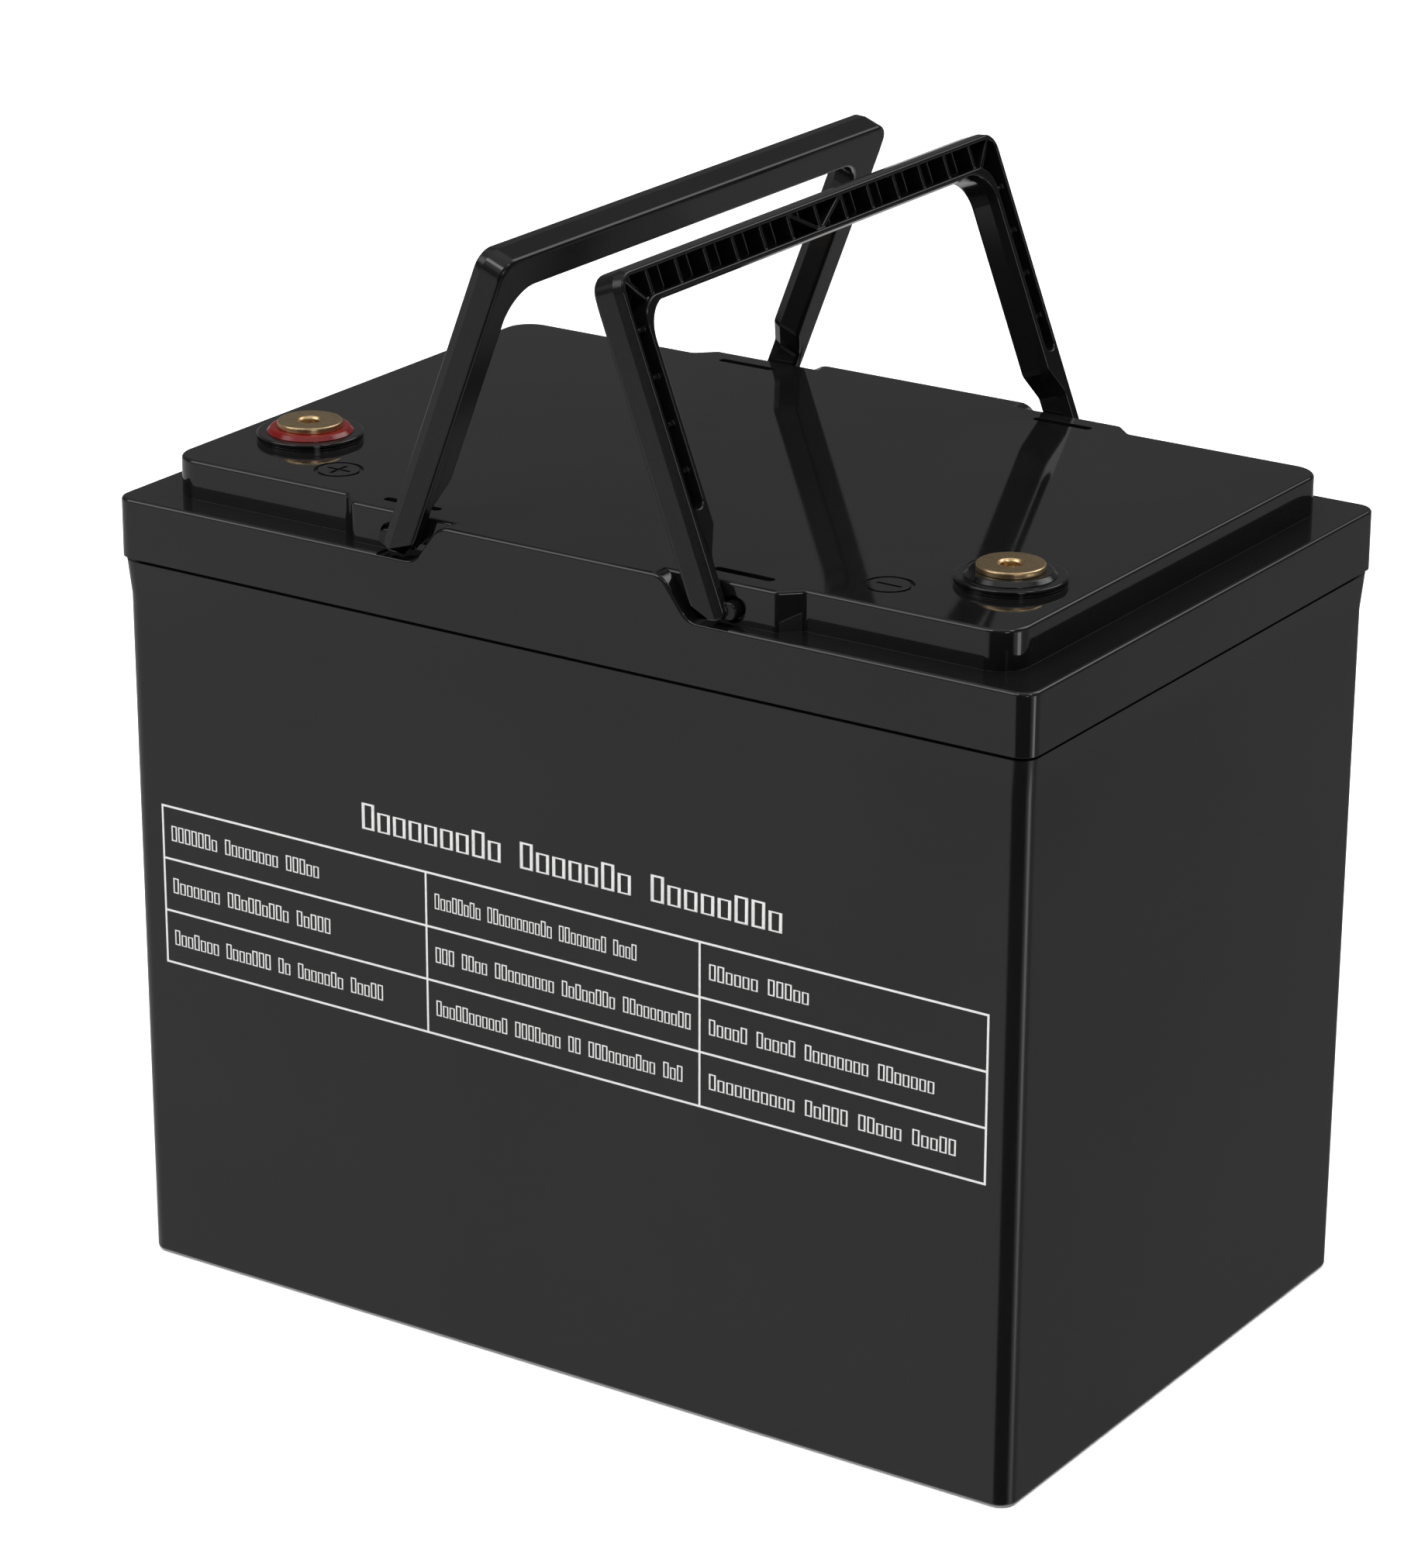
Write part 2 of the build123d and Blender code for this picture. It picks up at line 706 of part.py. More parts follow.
def make_spacer(index):
    """Insulating sheet between two cells."""
    y = cell_y(index) + cell_thickness / 2
    x0 = cell_x0 + spacer_inset
    x1 = cell_x1 - spacer_inset
    z0 = cell_z0 + spacer_inset / 2
    z1 = cell_z1 - spacer_inset / 2
    return block(x0, x1, y, y + cell_spacer, z0, z1)


def make_end_plate(side):
    """Glass-fibre sheet on one side of the stack."""
    y_a, y_b = sorted((side * (stack_half - end_plate), side * stack_half))
    x0 = cell_x0 + end_plate_inset
    x1 = cell_x1 - end_plate_inset
    return block(x0, x1, y_a, y_b, cell_z0, cell_z1)


def make_strap(x):
    """Flat steel band round the stack."""
    size_y = 2 * stack_half + 2 * strap_thickness
    size_z = cell_z1 - cell_z0 + 2 * strap_thickness
    ring = RectangleRounded(size_y, size_z, strap_thickness)
    ring -= Rectangle(2 * stack_half, cell_z1 - cell_z0)
    band = extrude(Plane.YZ * ring, strap_width / 2, both=True)
    return Pos(x, 0, cell_mid_z) * band


def make_busbar(first, last, upper):
    """Flat bar over the posts of the first to the last of the given cells."""
    z = post_z(upper)
    y0 = cell_y(first) - busbar_width / 2
    y1 = cell_y(last) + busbar_width / 2
    half = busbar_width / 2
    bar = block(post_face, busbar_face, y0, y1, z - half, z + half)
    bar = fillet(bar.edges().filter_by(Axis.X), busbar_corner)
    for index in range(first, last + 1):
        bar -= rod_x(busbar_hole, post_face - 1, busbar_face + 1, cell_y(index), z)
    return bar


def make_stud_nut(index, upper):
    """Hexagon nut on a stud; on the two output posts it also holds a cable lug."""
    z = post_z(upper)
    y = cell_y(index)
    is_output = upper and index in (0, cell_count - 1)
    x0 = lug_face if is_output else busbar_face
    nut = hexagon_x(stud_nut_flats, x0, x0 + stud_nut_height, y, z)
    return nut - rod_x(stud_radius + shank_clearance / 2, x0 - 1, x0 + stud_nut_height + 1, y, z)


def make_cover_sheet():
    """Insulating sheet that stands in front of the busbars."""
    half = stack_half - cover_sheet_margin
    return block(sheet_x, sheet_x + cover_sheet, -half, half, cell_z0, post_z(False) + post_offset)


def make_end_block():
    """Foam block that fills the room between the busbars and the case wall."""
    x0 = sheet_x + cover_sheet + end_block_gap
    x1 = cavity_length / 2 - pad_clearance
    half = stack_half - cover_sheet_margin
    return block(x0, x1, -half, half, case_floor, cell_mid_z)


def make_floor_pad():
    """Foam sheet under the cells."""
    half_x = cavity_length / 2 - pad_clearance
    half_y = cavity_width / 2 - cavity_corner
    return block(-half_x, cell_x1, -half_y, half_y, case_floor, case_floor + floor_pad)


def make_end_pad():
    """Foam sheet behind the cells."""
    x0 = pad_clearance - cavity_length / 2
    half_y = cavity_width / 2 - cavity_corner
    return block(x0, cell_x0, -half_y, half_y, pad_z, cell_z1)


def make_side_pad(side):
    """Foam sheet between the straps and one long wall of the case."""
    strap_face = stack_half + strap_thickness
    y_a, y_b = sorted((side * strap_face, side * (strap_face + side_pad)))
    return block(cell_x0 + pad_corner_gap, cell_x1, y_a, y_b, pad_z, cell_z1)


# ---------------------------------------------------------------- management board
def bms_corners():
    """Places of the four fixing holes of the board."""
    return [(bms_x + sx * hole_x, sy * hole_y) for sx in (-1, 1) for sy in (-1, 1)]


def make_bms_tray():
    """Sheet that lies on the straps over the cells and carries the board."""
    half_x = bms_length / 2 + bms_tray_margin
    half_y = bms_width / 2 + bms_tray_margin
    tray = block(bms_x - half_x, bms_x + half_x, -half_y, half_y, tray_z, tray_z + bms_tray_thickness)
    for x, y in bms_corners():
        tray -= rod(m3_radius + hole_clearance, tray_z - 1, board_z, x, y)
    return tray


def make_bms_board():
    """Printed circuit board with four fixing holes."""
    half_x = bms_length / 2
    half_y = bms_width / 2
    board = block(bms_x - half_x, bms_x + half_x, -half_y, half_y, board_z, board_z + bms_board)
    for x, y in bms_corners():
        board -= rod(m3_radius + hole_clearance, board_z - 1, board_z + bms_board + 1, x, y)
    return board


def make_bms_plate():
    """Aluminium plate that takes the heat of the transistors."""
    half_x = bms_plate_length / 2
    z1 = plate_z + bms_plate
    plate = block(bms_x - half_x, bms_x + half_x, -bms_width / 2, bms_width / 2, plate_z, z1)
    pitch = bms_plate_length / (bms_groove_count + 1)
    half_groove = bms_groove_width / 2
    groove_z = plate_z + bms_plate / 2
    for i in range(bms_groove_count):
        x = bms_x - half_x + (i + 1) * pitch
        plate -= block(x - half_groove, x + half_groove, -bms_width, bms_width, groove_z, z1 + 1)
    return plate


def mosfet_places():
    """Centres of the transistors, in two rows."""
    per_row = mosfet_count // 2
    return [
        (bms_x + (i - (per_row - 1) / 2) * mosfet_pitch, side * mosfet_row_y)
        for side in (-1, 1)
        for i in range(per_row)
    ]


def make_mosfets():
    """Power transistors between the board and the heat plate."""
    size_x, size_y, size_z = mosfet_size
    z = board_z + bms_board + size_z / 2
    return [Pos(x, y, z) * Box(size_x, size_y, size_z) for x, y in mosfet_places()]


def make_bms_connector():
    """Socket of the balance leads at the end of the board that faces the busbars."""
    half = (cell_count + 0.5) * lead_pitch / 2
    x0 = connector_x - bms_connector_depth
    return block(x0, connector_x, -half, half, board_top, board_top + bms_connector_height)


def make_bms_pad(side):
    """Copper land on which a main lead is soldered."""
    y = side * bms_pad_y
    z1 = board_top + bms_pad_height
    half_x = bms_pad_length / 2
    half_y = bms_pad_width / 2
    return block(bms_pad_x - half_x, bms_pad_x + half_x, y - half_y, y + half_y, board_top, z1)


def make_bms_standoffs():
    """Spacers between the tray and the board."""
    z0 = tray_z + bms_tray_thickness
    posts = []
    for x, y in bms_corners():
        post = rod(m3_head_radius, z0, board_z, x, y)
        posts.append(post - rod(m3_radius + hole_clearance, z0 - 1, board_z + 1, x, y))
    return posts


def make_bms_screws():
    """Four screws through the board and its spacers into the tray."""
    z1 = board_z + bms_board
    screws = []
    for x, y in bms_corners():
        head = rod(m3_head_radius, z1, z1 + m3_head_height, x, y)
        screws.append(head + rod(m3_radius, tray_z + m3_end_gap, z1, x, y))
    return screws


# ---------------------------------------------------------------- leads
def make_terminal_lug(x, turn):
    """Ring lug under a terminal, its barrel turned from +Y by the given angle."""
    z1 = shank_bottom
    z0 = z1 - lug_thickness
    z_axis = lug_axis_z
    lug = rod(lug_radius, z0, z1) + block(-lug_web, lug_web, 0, lug_depth, z0, z1)
    lug += rod_y(cable_radius + lug_barrel_wall, lug_radius + 1, lug_mouth, 0, z_axis)
    lug -= rod_y(cable_radius + hole_clearance / 2, lug_depth, lug_mouth + 1, 0, z_axis)
    lug -= rod(thread_radius + 3 * hole_clearance, z0 - 5, z1 + 1)
    return Pos(x, terminal_y, 0) * Rot(0, 0, turn) * lug


def make_output_lug(index):
    """Ring lug on an output stud, with its barrel pointing straight up."""
    y = cell_y(index)
    z = post_z(True)
    lug = rod_x(lug_radius, busbar_face, lug_face, y, z)
    lug += block(busbar_face, lug_face, y - lug_web, y + lug_web, z, z + lug_depth)
    lug += rod(
        cable_radius + lug_barrel_wall, z + lug_radius + 1, z + lug_mouth, lug_axis_x, y
    )
    lug -= rod(cable_radius + hole_clearance / 2, z + lug_depth, z + lug_mouth + 1, lug_axis_x, y)
    return lug - rod_x(busbar_hole, busbar_face - 1, lug_axis_x + 5, y, z)


def positive_cable():
    """Main lead from the positive tab over the cells to the positive terminal."""
    y0 = cell_y(0)
    z0 = post_z(True) + lug_depth
    far_y = terminal_y + 54
    points = [
        (lug_axis_x, y0, z0),
        (lug_axis_x, y0, lug_axis_z - 20),
        (lug_axis_x - 57, y0 + 11, lug_axis_z - 17),
        (-terminal_x * 0.35, far_y, lug_axis_z - 7),
        (-terminal_x, far_y, lug_axis_z),
        (-terminal_x, terminal_y + lug_depth, lug_axis_z),
    ]
    return tube("positive_cable", points, cable_radius)


def pack_negative_cable():
    """Main lead from the negative tab to the management board."""
    y0 = cell_y(cell_count - 1)
    points = [
        (lug_axis_x, y0, post_z(True) + lug_depth),
        (lug_axis_x, y0, cable_on_pad_z),
        (lug_axis_x - 22, bms_pad_y, cable_on_pad_z),
        (bms_pad_x - solder_run, bms_pad_y, cable_on_pad_z),
    ]
    return tube("pack_negative_cable", points, cable_radius)


def output_negative_cable():
    """Main lead from the management board to the negative terminal."""
    x1 = terminal_x - lug_depth
    points = [
        (bms_pad_x - solder_run, -bms_pad_y, cable_on_pad_z),
        (x1 - 56, -bms_pad_y, cable_on_pad_z),
        (x1 - 26, terminal_y, lug_axis_z),
        (x1, terminal_y, lug_axis_z),
    ]
    return tube("output_negative_cable", points, cable_radius)


def balance_targets():
    """Where each balance lead is soldered, from the negative to the positive tab."""
    upper = post_z(True)
    lower = post_z(False)
    corner = busbar_width / 2 - lead_solder_inset
    return [
        (cell_y(cell_count - 1) - corner, upper - corner),
        (cell_pitch, lower),
        (0.0, upper),
        (-cell_pitch, lower),
        (cell_y(0) + corner, upper - corner),
    ]


def balance_leads():
    """Thin leads from the board's socket over the cells to the busbars."""
    leads = []
    z_socket = board_top + bms_connector_height / 2
    x_drop = busbar_face + lead_drop_gap
    for i, (y, z) in enumerate(balance_targets()):
        y_socket = (cell_count / 2 - i) * lead_pitch
        points = [
            (connector_x, y_socket, z_socket),
            (x_drop - lead_drop_run, y_socket, z_socket),
            (x_drop, y, cell_z1 - cell_corner),
            (x_drop + lead_radius / 2, y, z),
            (busbar_face, y, z),
        ]
        leads.append(tube(f"balance_lead_{i}", points, lead_radius))
    return leads


def main():
    """Build every piece and write its STEP file."""
    os.makedirs("parts", exist_ok=True)
    save("case", make_case())
    save("cover", make_cover())
    save("cover_seal", make_cover_seal())

    bail = make_bail()
    for pin in bail_pins():
        bail += pin
    save("left_handle", place_left(bail))
    save("right_handle", place_right(bail))

    sides = {"positive": -terminal_x, "negative": terminal_x}
    for name, x in sides.items():
        save(name + "_terminal", make_terminal(x))
        save(name + "_ring", make_ring(x))
    save("terminal_o_rings", *[make_o_ring(x) for x in sides.values()])
    save("terminal_lock_nuts", *[make_lock_nut(x) for x in sides.values()])
    save("terminal_lug_screws", *[make_lug_screw(x) for x in sides.values()])

    for index in range(cell_count):
        save(f"cell_{index + 1}", make_cell(index))
        save(f"cell_{index + 1}_posts", *make_posts(index))
    for index in range(cell_count - 1):
        save(f"cell_spacer_{index + 1}", make_spacer(index))
    save("front_end_plate", make_end_plate(-1))
    save("back_end_plate", make_end_plate(1))
    save("left_strap", make_strap(cell_mid_x - strap_shift))
    save("right_strap", make_strap(cell_mid_x + strap_shift))

    save("busbar_lower_front", make_busbar(0, 1, False))
    save("busbar_upper_middle", make_busbar(1, 2, True))
    save("busbar_lower_back", make_busbar(2, 3, False))
    save("positive_tab", make_busbar(0, 0, True))
    save("negative_tab", make_busbar(3, 3, True))
    nuts = [make_stud_nut(i, upper) for i in range(cell_count) for upper in (False, True)]
    save("busbar_nuts", *nuts)
    save("busbar_cover_sheet", make_cover_sheet())
    save("end_foam_block", make_end_block())

    save("floor_pad", make_floor_pad())
    save("end_pad", make_end_pad())
    save("front_pad", make_side_pad(-1))
    save("back_pad", make_side_pad(1))

    save("bms_tray", make_bms_tray())
    save("bms_board", make_bms_board())
    save("bms_heat_plate", make_bms_plate())
    save("bms_transistors", *make_mosfets())
    save("bms_connector", make_bms_connector())
    save("bms_lead_pads", make_bms_pad(-1), make_bms_pad(1))
    save("bms_standoffs", *make_bms_standoffs())
    save("bms_screws", *make_bms_screws())
    lugs = [make_terminal_lug(-terminal_x, 0), make_terminal_lug(terminal_x, 90)]
    save("terminal_lugs", *lugs)
    save("output_lugs", make_output_lug(0), make_output_lug(cell_count - 1))
    save("positive_cable", positive_cable())
    save("pack_negative_cable", pack_negative_cable())
    save("output_negative_cable", output_negative_cable())
    for i, lead in enumerate(balance_leads()):
        save(f"balance_lead_{i}", lead)


main()
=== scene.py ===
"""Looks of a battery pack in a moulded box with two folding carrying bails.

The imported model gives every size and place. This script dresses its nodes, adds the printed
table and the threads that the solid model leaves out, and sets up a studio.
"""

import logging
import math
from dataclasses import dataclass, field
from enum import Enum

import bmesh
import bpy
from mathutils import Matrix, Vector
from mathutils.bvhtree import BVHTree


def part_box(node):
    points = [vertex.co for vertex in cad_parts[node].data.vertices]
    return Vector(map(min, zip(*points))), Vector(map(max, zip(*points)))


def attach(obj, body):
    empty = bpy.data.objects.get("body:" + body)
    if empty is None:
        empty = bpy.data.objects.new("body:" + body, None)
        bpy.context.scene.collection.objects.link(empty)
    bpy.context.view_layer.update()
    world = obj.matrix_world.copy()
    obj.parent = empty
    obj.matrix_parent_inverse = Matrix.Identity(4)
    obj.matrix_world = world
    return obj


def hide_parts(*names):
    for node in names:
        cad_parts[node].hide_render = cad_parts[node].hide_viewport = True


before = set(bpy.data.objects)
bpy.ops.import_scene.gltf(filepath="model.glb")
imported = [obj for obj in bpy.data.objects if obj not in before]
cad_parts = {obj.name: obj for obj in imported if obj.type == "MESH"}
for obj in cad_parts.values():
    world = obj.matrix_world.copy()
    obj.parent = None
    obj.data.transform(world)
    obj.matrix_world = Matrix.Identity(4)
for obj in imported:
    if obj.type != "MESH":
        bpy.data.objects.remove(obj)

MM = 0.001
Colour = tuple[float, float, float]
log = logging.getLogger("battery_pack")


class Body(str, Enum):
    """The three bodies that pieces ride on."""

    HOUSING = "housing"
    LEFT_BAIL = "left_handle"
    RIGHT_BAIL = "right_handle"


class Axis(Enum):
    """The axis that a turned or brushed pattern runs round or along."""

    X = 0
    Y = 1
    Z = 2


# ---------------------------------------------------------------- material building
class Surface:
    """A material under construction: its node tree, its main shader and its coordinates."""

    def __init__(self, name: str) -> None:
        """Start a material with a shader and an output.

        Args:
            name: Name of the new material.
        """
        self.material = bpy.data.materials.new(name)
        self.material.use_nodes = True
        self.tree = self.material.node_tree
        self.tree.nodes.clear()
        self.shader = self.tree.nodes.new("ShaderNodeBsdfPrincipled")
        output = self.tree.nodes.new("ShaderNodeOutputMaterial")
        self.tree.links.new(self.shader.outputs[0], output.inputs["Surface"])
        self.place = self.tree.nodes.new("ShaderNodeTexCoord").outputs["Object"]

    def node(self, kind: str, values: dict, **settings: object) -> bpy.types.Node:
        """Add a node, fill its inputs and link those that are given as sockets.

        Args:
            kind: Blender's node type.
            values: Input name or index to a number, a tuple or an output socket.
            **settings: Attributes of the node itself.

        Returns:
            The new node.
        """
        node = self.tree.nodes.new(kind)
        for key, value in settings.items():
            setattr(node, key, value)
        for key, value in values.items():
            if isinstance(value, bpy.types.NodeSocket):
                self.tree.links.new(value, node.inputs[key])
            else:
                node.inputs[key].default_value = value
        return node

    def noise(self, scale: float, detail: float = 2.0, stretch: Colour = (1, 1, 1)) -> bpy.types.NodeSocket:
        """Cloudy noise in object space.

        Args:
            scale: Waves per metre.
            detail: Number of finer octaves.
            stretch: Factor on each axis, below one for a longer grain.

        Returns:
            The noise value, from 0 to 1.
        """
        mapped = self.node("ShaderNodeMapping", {"Vector": self.place, "Scale": stretch})
        values = {"Vector": mapped.outputs[0], "Scale": scale, "Detail": detail, "Roughness": 0.6}
        return self.node("ShaderNodeTexNoise", values).outputs["Fac"]

    def between(self, fac: bpy.types.NodeSocket, low: float, high: float,
                to_low: float, to_high: float) -> bpy.types.NodeSocket:
        """Map a value from one range to another, without running past the ends.

        Args:
            fac: The value to map.
            low: Start of the source range.
            high: End of the source range.
            to_low: Result at the start.
            to_high: Result at the end.

        Returns:
            The mapped value.
        """
        values = {0: fac, 1: low, 2: high, 3: to_low, 4: to_high}
        return self.node("ShaderNodeMapRange", values, clamp=True).outputs[0]

    def math(self, operation: str, first: object, second: object = 0.0) -> bpy.types.NodeSocket:
        """One arithmetic step on numbers or sockets.

        Args:
            operation: Blender's name of the operation.
            first: First operand.
            second: Second operand.

        Returns:
            The result.
        """
        return self.node("ShaderNodeMath", {0: first, 1: second}, operation=operation).outputs[0]

    def blend(self, fac: bpy.types.NodeSocket, first: object, second: object) -> bpy.types.NodeSocket:
        """Mix two colours.

        Args:
            fac: Share of the second colour.
            first: First colour or socket.
            second: Second colour or socket.

        Returns:
            The mixed colour.
        """
        values = {0: fac}
        for index, colour in ((6, first), (7, second)):
            values[index] = (*colour, 1.0) if isinstance(colour, tuple) else colour
        return self.node("ShaderNodeMix", values, data_type="RGBA").outputs[2]

    def bump(self, height: bpy.types.NodeSocket, depth: float,
             below: bpy.types.NodeSocket | None = None) -> bpy.types.NodeSocket:
        """Raise the surface by a height map.

        Args:
            height: Height from 0 to 1.
            depth: Depth in metres between 0 and 1.
            below: Normal of a coarser bump underneath.

        Returns:
            The new normal.
        """
        values = {"Height": height, "Distance": depth, "Strength": 1.0}
        if below is not None:
            values["Normal"] = below
        return self.node("ShaderNodeBump", values).outputs[0]

    def radius(self, centre: Vector, axis: Axis) -> bpy.types.NodeSocket:
        """Distance from a line through a point.

        Args:
            centre: A point on the line.
            axis: Direction of the line.

        Returns:
            The distance in metres.
        """
        flat = [1.0, 1.0, 1.0]
        flat[axis.value] = 0.0
        moved = self.node("ShaderNodeVectorMath", {0: self.place, 1: centre}, operation="SUBTRACT")
        values = {0: moved.outputs[0], 1: tuple(flat)}
        flattened = self.node("ShaderNodeVectorMath", values, operation="MULTIPLY")
        length = self.node("ShaderNodeVectorMath", {0: flattened.outputs[0]}, operation="LENGTH")
        return length.outputs["Value"]

    def link(self, **sockets: object) -> bpy.types.Material:
        """Connect or set the shader's inputs.

        Args:
            **sockets: Input name, with _ for a space, to a socket or a value.

        Returns:
            The finished material.
        """
        for key, value in sockets.items():
            target = self.shader.inputs[key.replace("_", " ")]
            if isinstance(value, bpy.types.NodeSocket):
                self.tree.links.new(value, target)
            else:
                target.default_value = value
        return self.material


@dataclass(frozen=True)
class MouldedPlastic:
    """Injection-moulded plastic with a fine grain, slow colour drift and faint handling marks."""

    name: str
    colour: Colour
    roughness: float
    grain_depth: float = 0.002
    grain_per_metre: float = 2600.0
    drift: float = 0.25
    specular: float = 0.5

    def make(self) -> bpy.types.Material:
        """Build the material.

        Returns:
            The finished material.
        """
        surface = Surface(self.name)
        grain = surface.noise(self.grain_per_metre, 3.0)
        cloud = surface.noise(14.0, 3.0)
        smear = surface.noise(60.0, 4.0, (1.0, 1.0, 0.25))
        light = tuple(c * (1 + self.drift) + 0.0006 for c in self.colour)
        dark = tuple(c * (1 - self.drift) for c in self.colour)
        tone = surface.math("MULTIPLY_ADD", grain, 0.55)
        surface.tree.links.new(surface.math("MULTIPLY", cloud, 0.45), tone.node.inputs[2])
        base = surface.blend(surface.between(tone, 0.35, 0.65, 0.0, 1.0), dark, light)
        worn = surface.between(smear, 0.6, 0.8, 0.0, 0.06)
        polish = surface.between(grain, 0.3, 0.7, self.roughness * 0.9, self.roughness * 1.1)
        rough = surface.math("ADD", worn, polish)
        normal = surface.bump(grain, self.grain_depth * MM)
        return surface.link(Base_Color=base, Roughness=rough, Normal=normal, Specular_IOR_Level=self.specular)


@dataclass(frozen=True)
class Metal:
    """Metal with fine tool marks, a little tarnish and uneven polish."""

    name: str
    colour: Colour
    tarnish: Colour
    roughness: float
    centre: tuple[float, float, float] | None = None
    axis: Axis = Axis.Z
    mark_pitch: float = 0.16

    def make(self) -> bpy.types.Material:
        """Build the material.

        Returns:
            The finished material.
        """
        surface = Surface(self.name)
        if self.centre is not None:
            rings = surface.radius(Vector(self.centre), self.axis)
            turns = surface.math("MULTIPLY", rings, 2 * math.pi / (self.mark_pitch * MM))
            turned = surface.math("SINE", turns)
            marks = surface.between(turned, -1.0, 1.0, 0.0, 1.0)
        else:
            stretch = [1.0, 1.0, 1.0]
            stretch[self.axis.value] = 0.04
            marks = surface.noise(1800.0, 2.0, tuple(stretch))
        patches = surface.noise(420.0, 5.0)
        specks = surface.noise(2600.0, 2.0)
        stain = surface.between(patches, 0.42, 0.7, 0.0, 0.8)
        spots = surface.between(specks, 0.64, 0.72, 0.0, 0.7)
        base = surface.blend(surface.math("MAXIMUM", stain, spots), self.colour, self.tarnish)
        rough = surface.between(patches, 0.3, 0.7, self.roughness * 0.8, self.roughness * 1.3)
        normal = surface.bump(specks, 0.004 * MM, surface.bump(marks, 0.003 * MM))
        return surface.link(Base_Color=base, Roughness=rough, Normal=normal, Metallic=1.0)


@dataclass(frozen=True)
class Ink:
    """Screen-printed ink, a little uneven and thin in places."""

    name: str
    colour: Colour
    thin: Colour

    def make(self) -> bpy.types.Material:
        """Build the material.

        Returns:
            The finished material.
        """
        surface = Surface(self.name)
        screen = surface.noise(1500.0, 3.0)
        base = surface.blend(surface.between(screen, 0.55, 0.75, 0.0, 0.5), self.colour, self.thin)
        rough = surface.between(screen, 0.3, 0.7, 0.45, 0.6)
        normal = surface.bump(screen, 0.006 * MM)
        return surface.link(Base_Color=base, Roughness=rough, Normal=normal, Specular_IOR_Level=0.3)


@dataclass(frozen=True)
class Foam:
    """Closed-cell foam or rubber with a pitted skin, its pits darkened with painted shade."""

    name: str
    colour: Colour
    pore_per_metre: float
    pore_depth: float
    roughness: float = 0.85

    def make(self) -> bpy.types.Material:
        """Build the material.

        Returns:
            The finished material.
        """
        surface = Surface(self.name)
        values = {"Vector": surface.place, "Scale": self.pore_per_metre}
        pores = surface.node("ShaderNodeTexVoronoi", values).outputs["Distance"]
        cloud = surface.noise(40.0, 3.0)
        dark = tuple(c * 0.6 for c in self.colour)
        # Painted shade: the colour darkens towards the middle of each pore, where the bump sinks the skin;
        # the cloud on top is random tone.
        pitted = surface.between(pores, 0.0, 0.5, 0.4, 1.0)
        shade = surface.math("MULTIPLY", pitted, surface.between(cloud, 0.3, 0.7, 0.7, 1.0))
        base = surface.blend(shade, dark, self.colour)
        rough = surface.between(cloud, 0.3, 0.7, self.roughness * 0.9, self.roughness)
        normal = surface.bump(pores, self.pore_depth * MM)
        return surface.link(Base_Color=base, Roughness=rough, Normal=normal, Specular_IOR_Level=0.3)


@dataclass(frozen=True)
class Laminate:
    """Sheet material with a woven core that shows through a thin skin."""

    name: str
    colour: Colour
    line: Colour
    pitch: float
    roughness: float

    def make(self) -> bpy.types.Material:
        """Build the material.

        Returns:
            The finished material.
        """
        surface = Surface(self.name)
        parts = surface.node("ShaderNodeSeparateXYZ", {0: surface.place})
        waves = []
        for index in range(3):
            turn = surface.math("MULTIPLY", parts.outputs[index], 2 * math.pi / (self.pitch * MM))
            waves.append(surface.math("SINE", turn))
        weave = surface.math("MULTIPLY", surface.math("ADD", waves[0], waves[2]), waves[1])
        shade = surface.between(weave, -1.2, 1.2, 0.0, 0.5)
        cloud = surface.noise(90.0, 3.0)
        seen = surface.math("MULTIPLY", shade, surface.between(cloud, 0.3, 0.7, 0.4, 1.0))
        base = surface.blend(seen, self.colour, self.line)
        rough = surface.between(cloud, 0.3, 0.7, self.roughness * 0.85, self.roughness * 1.15)
        normal = surface.bump(shade, 0.01 * MM)
        return surface.link(Base_Color=base, Roughness=rough, Normal=normal)


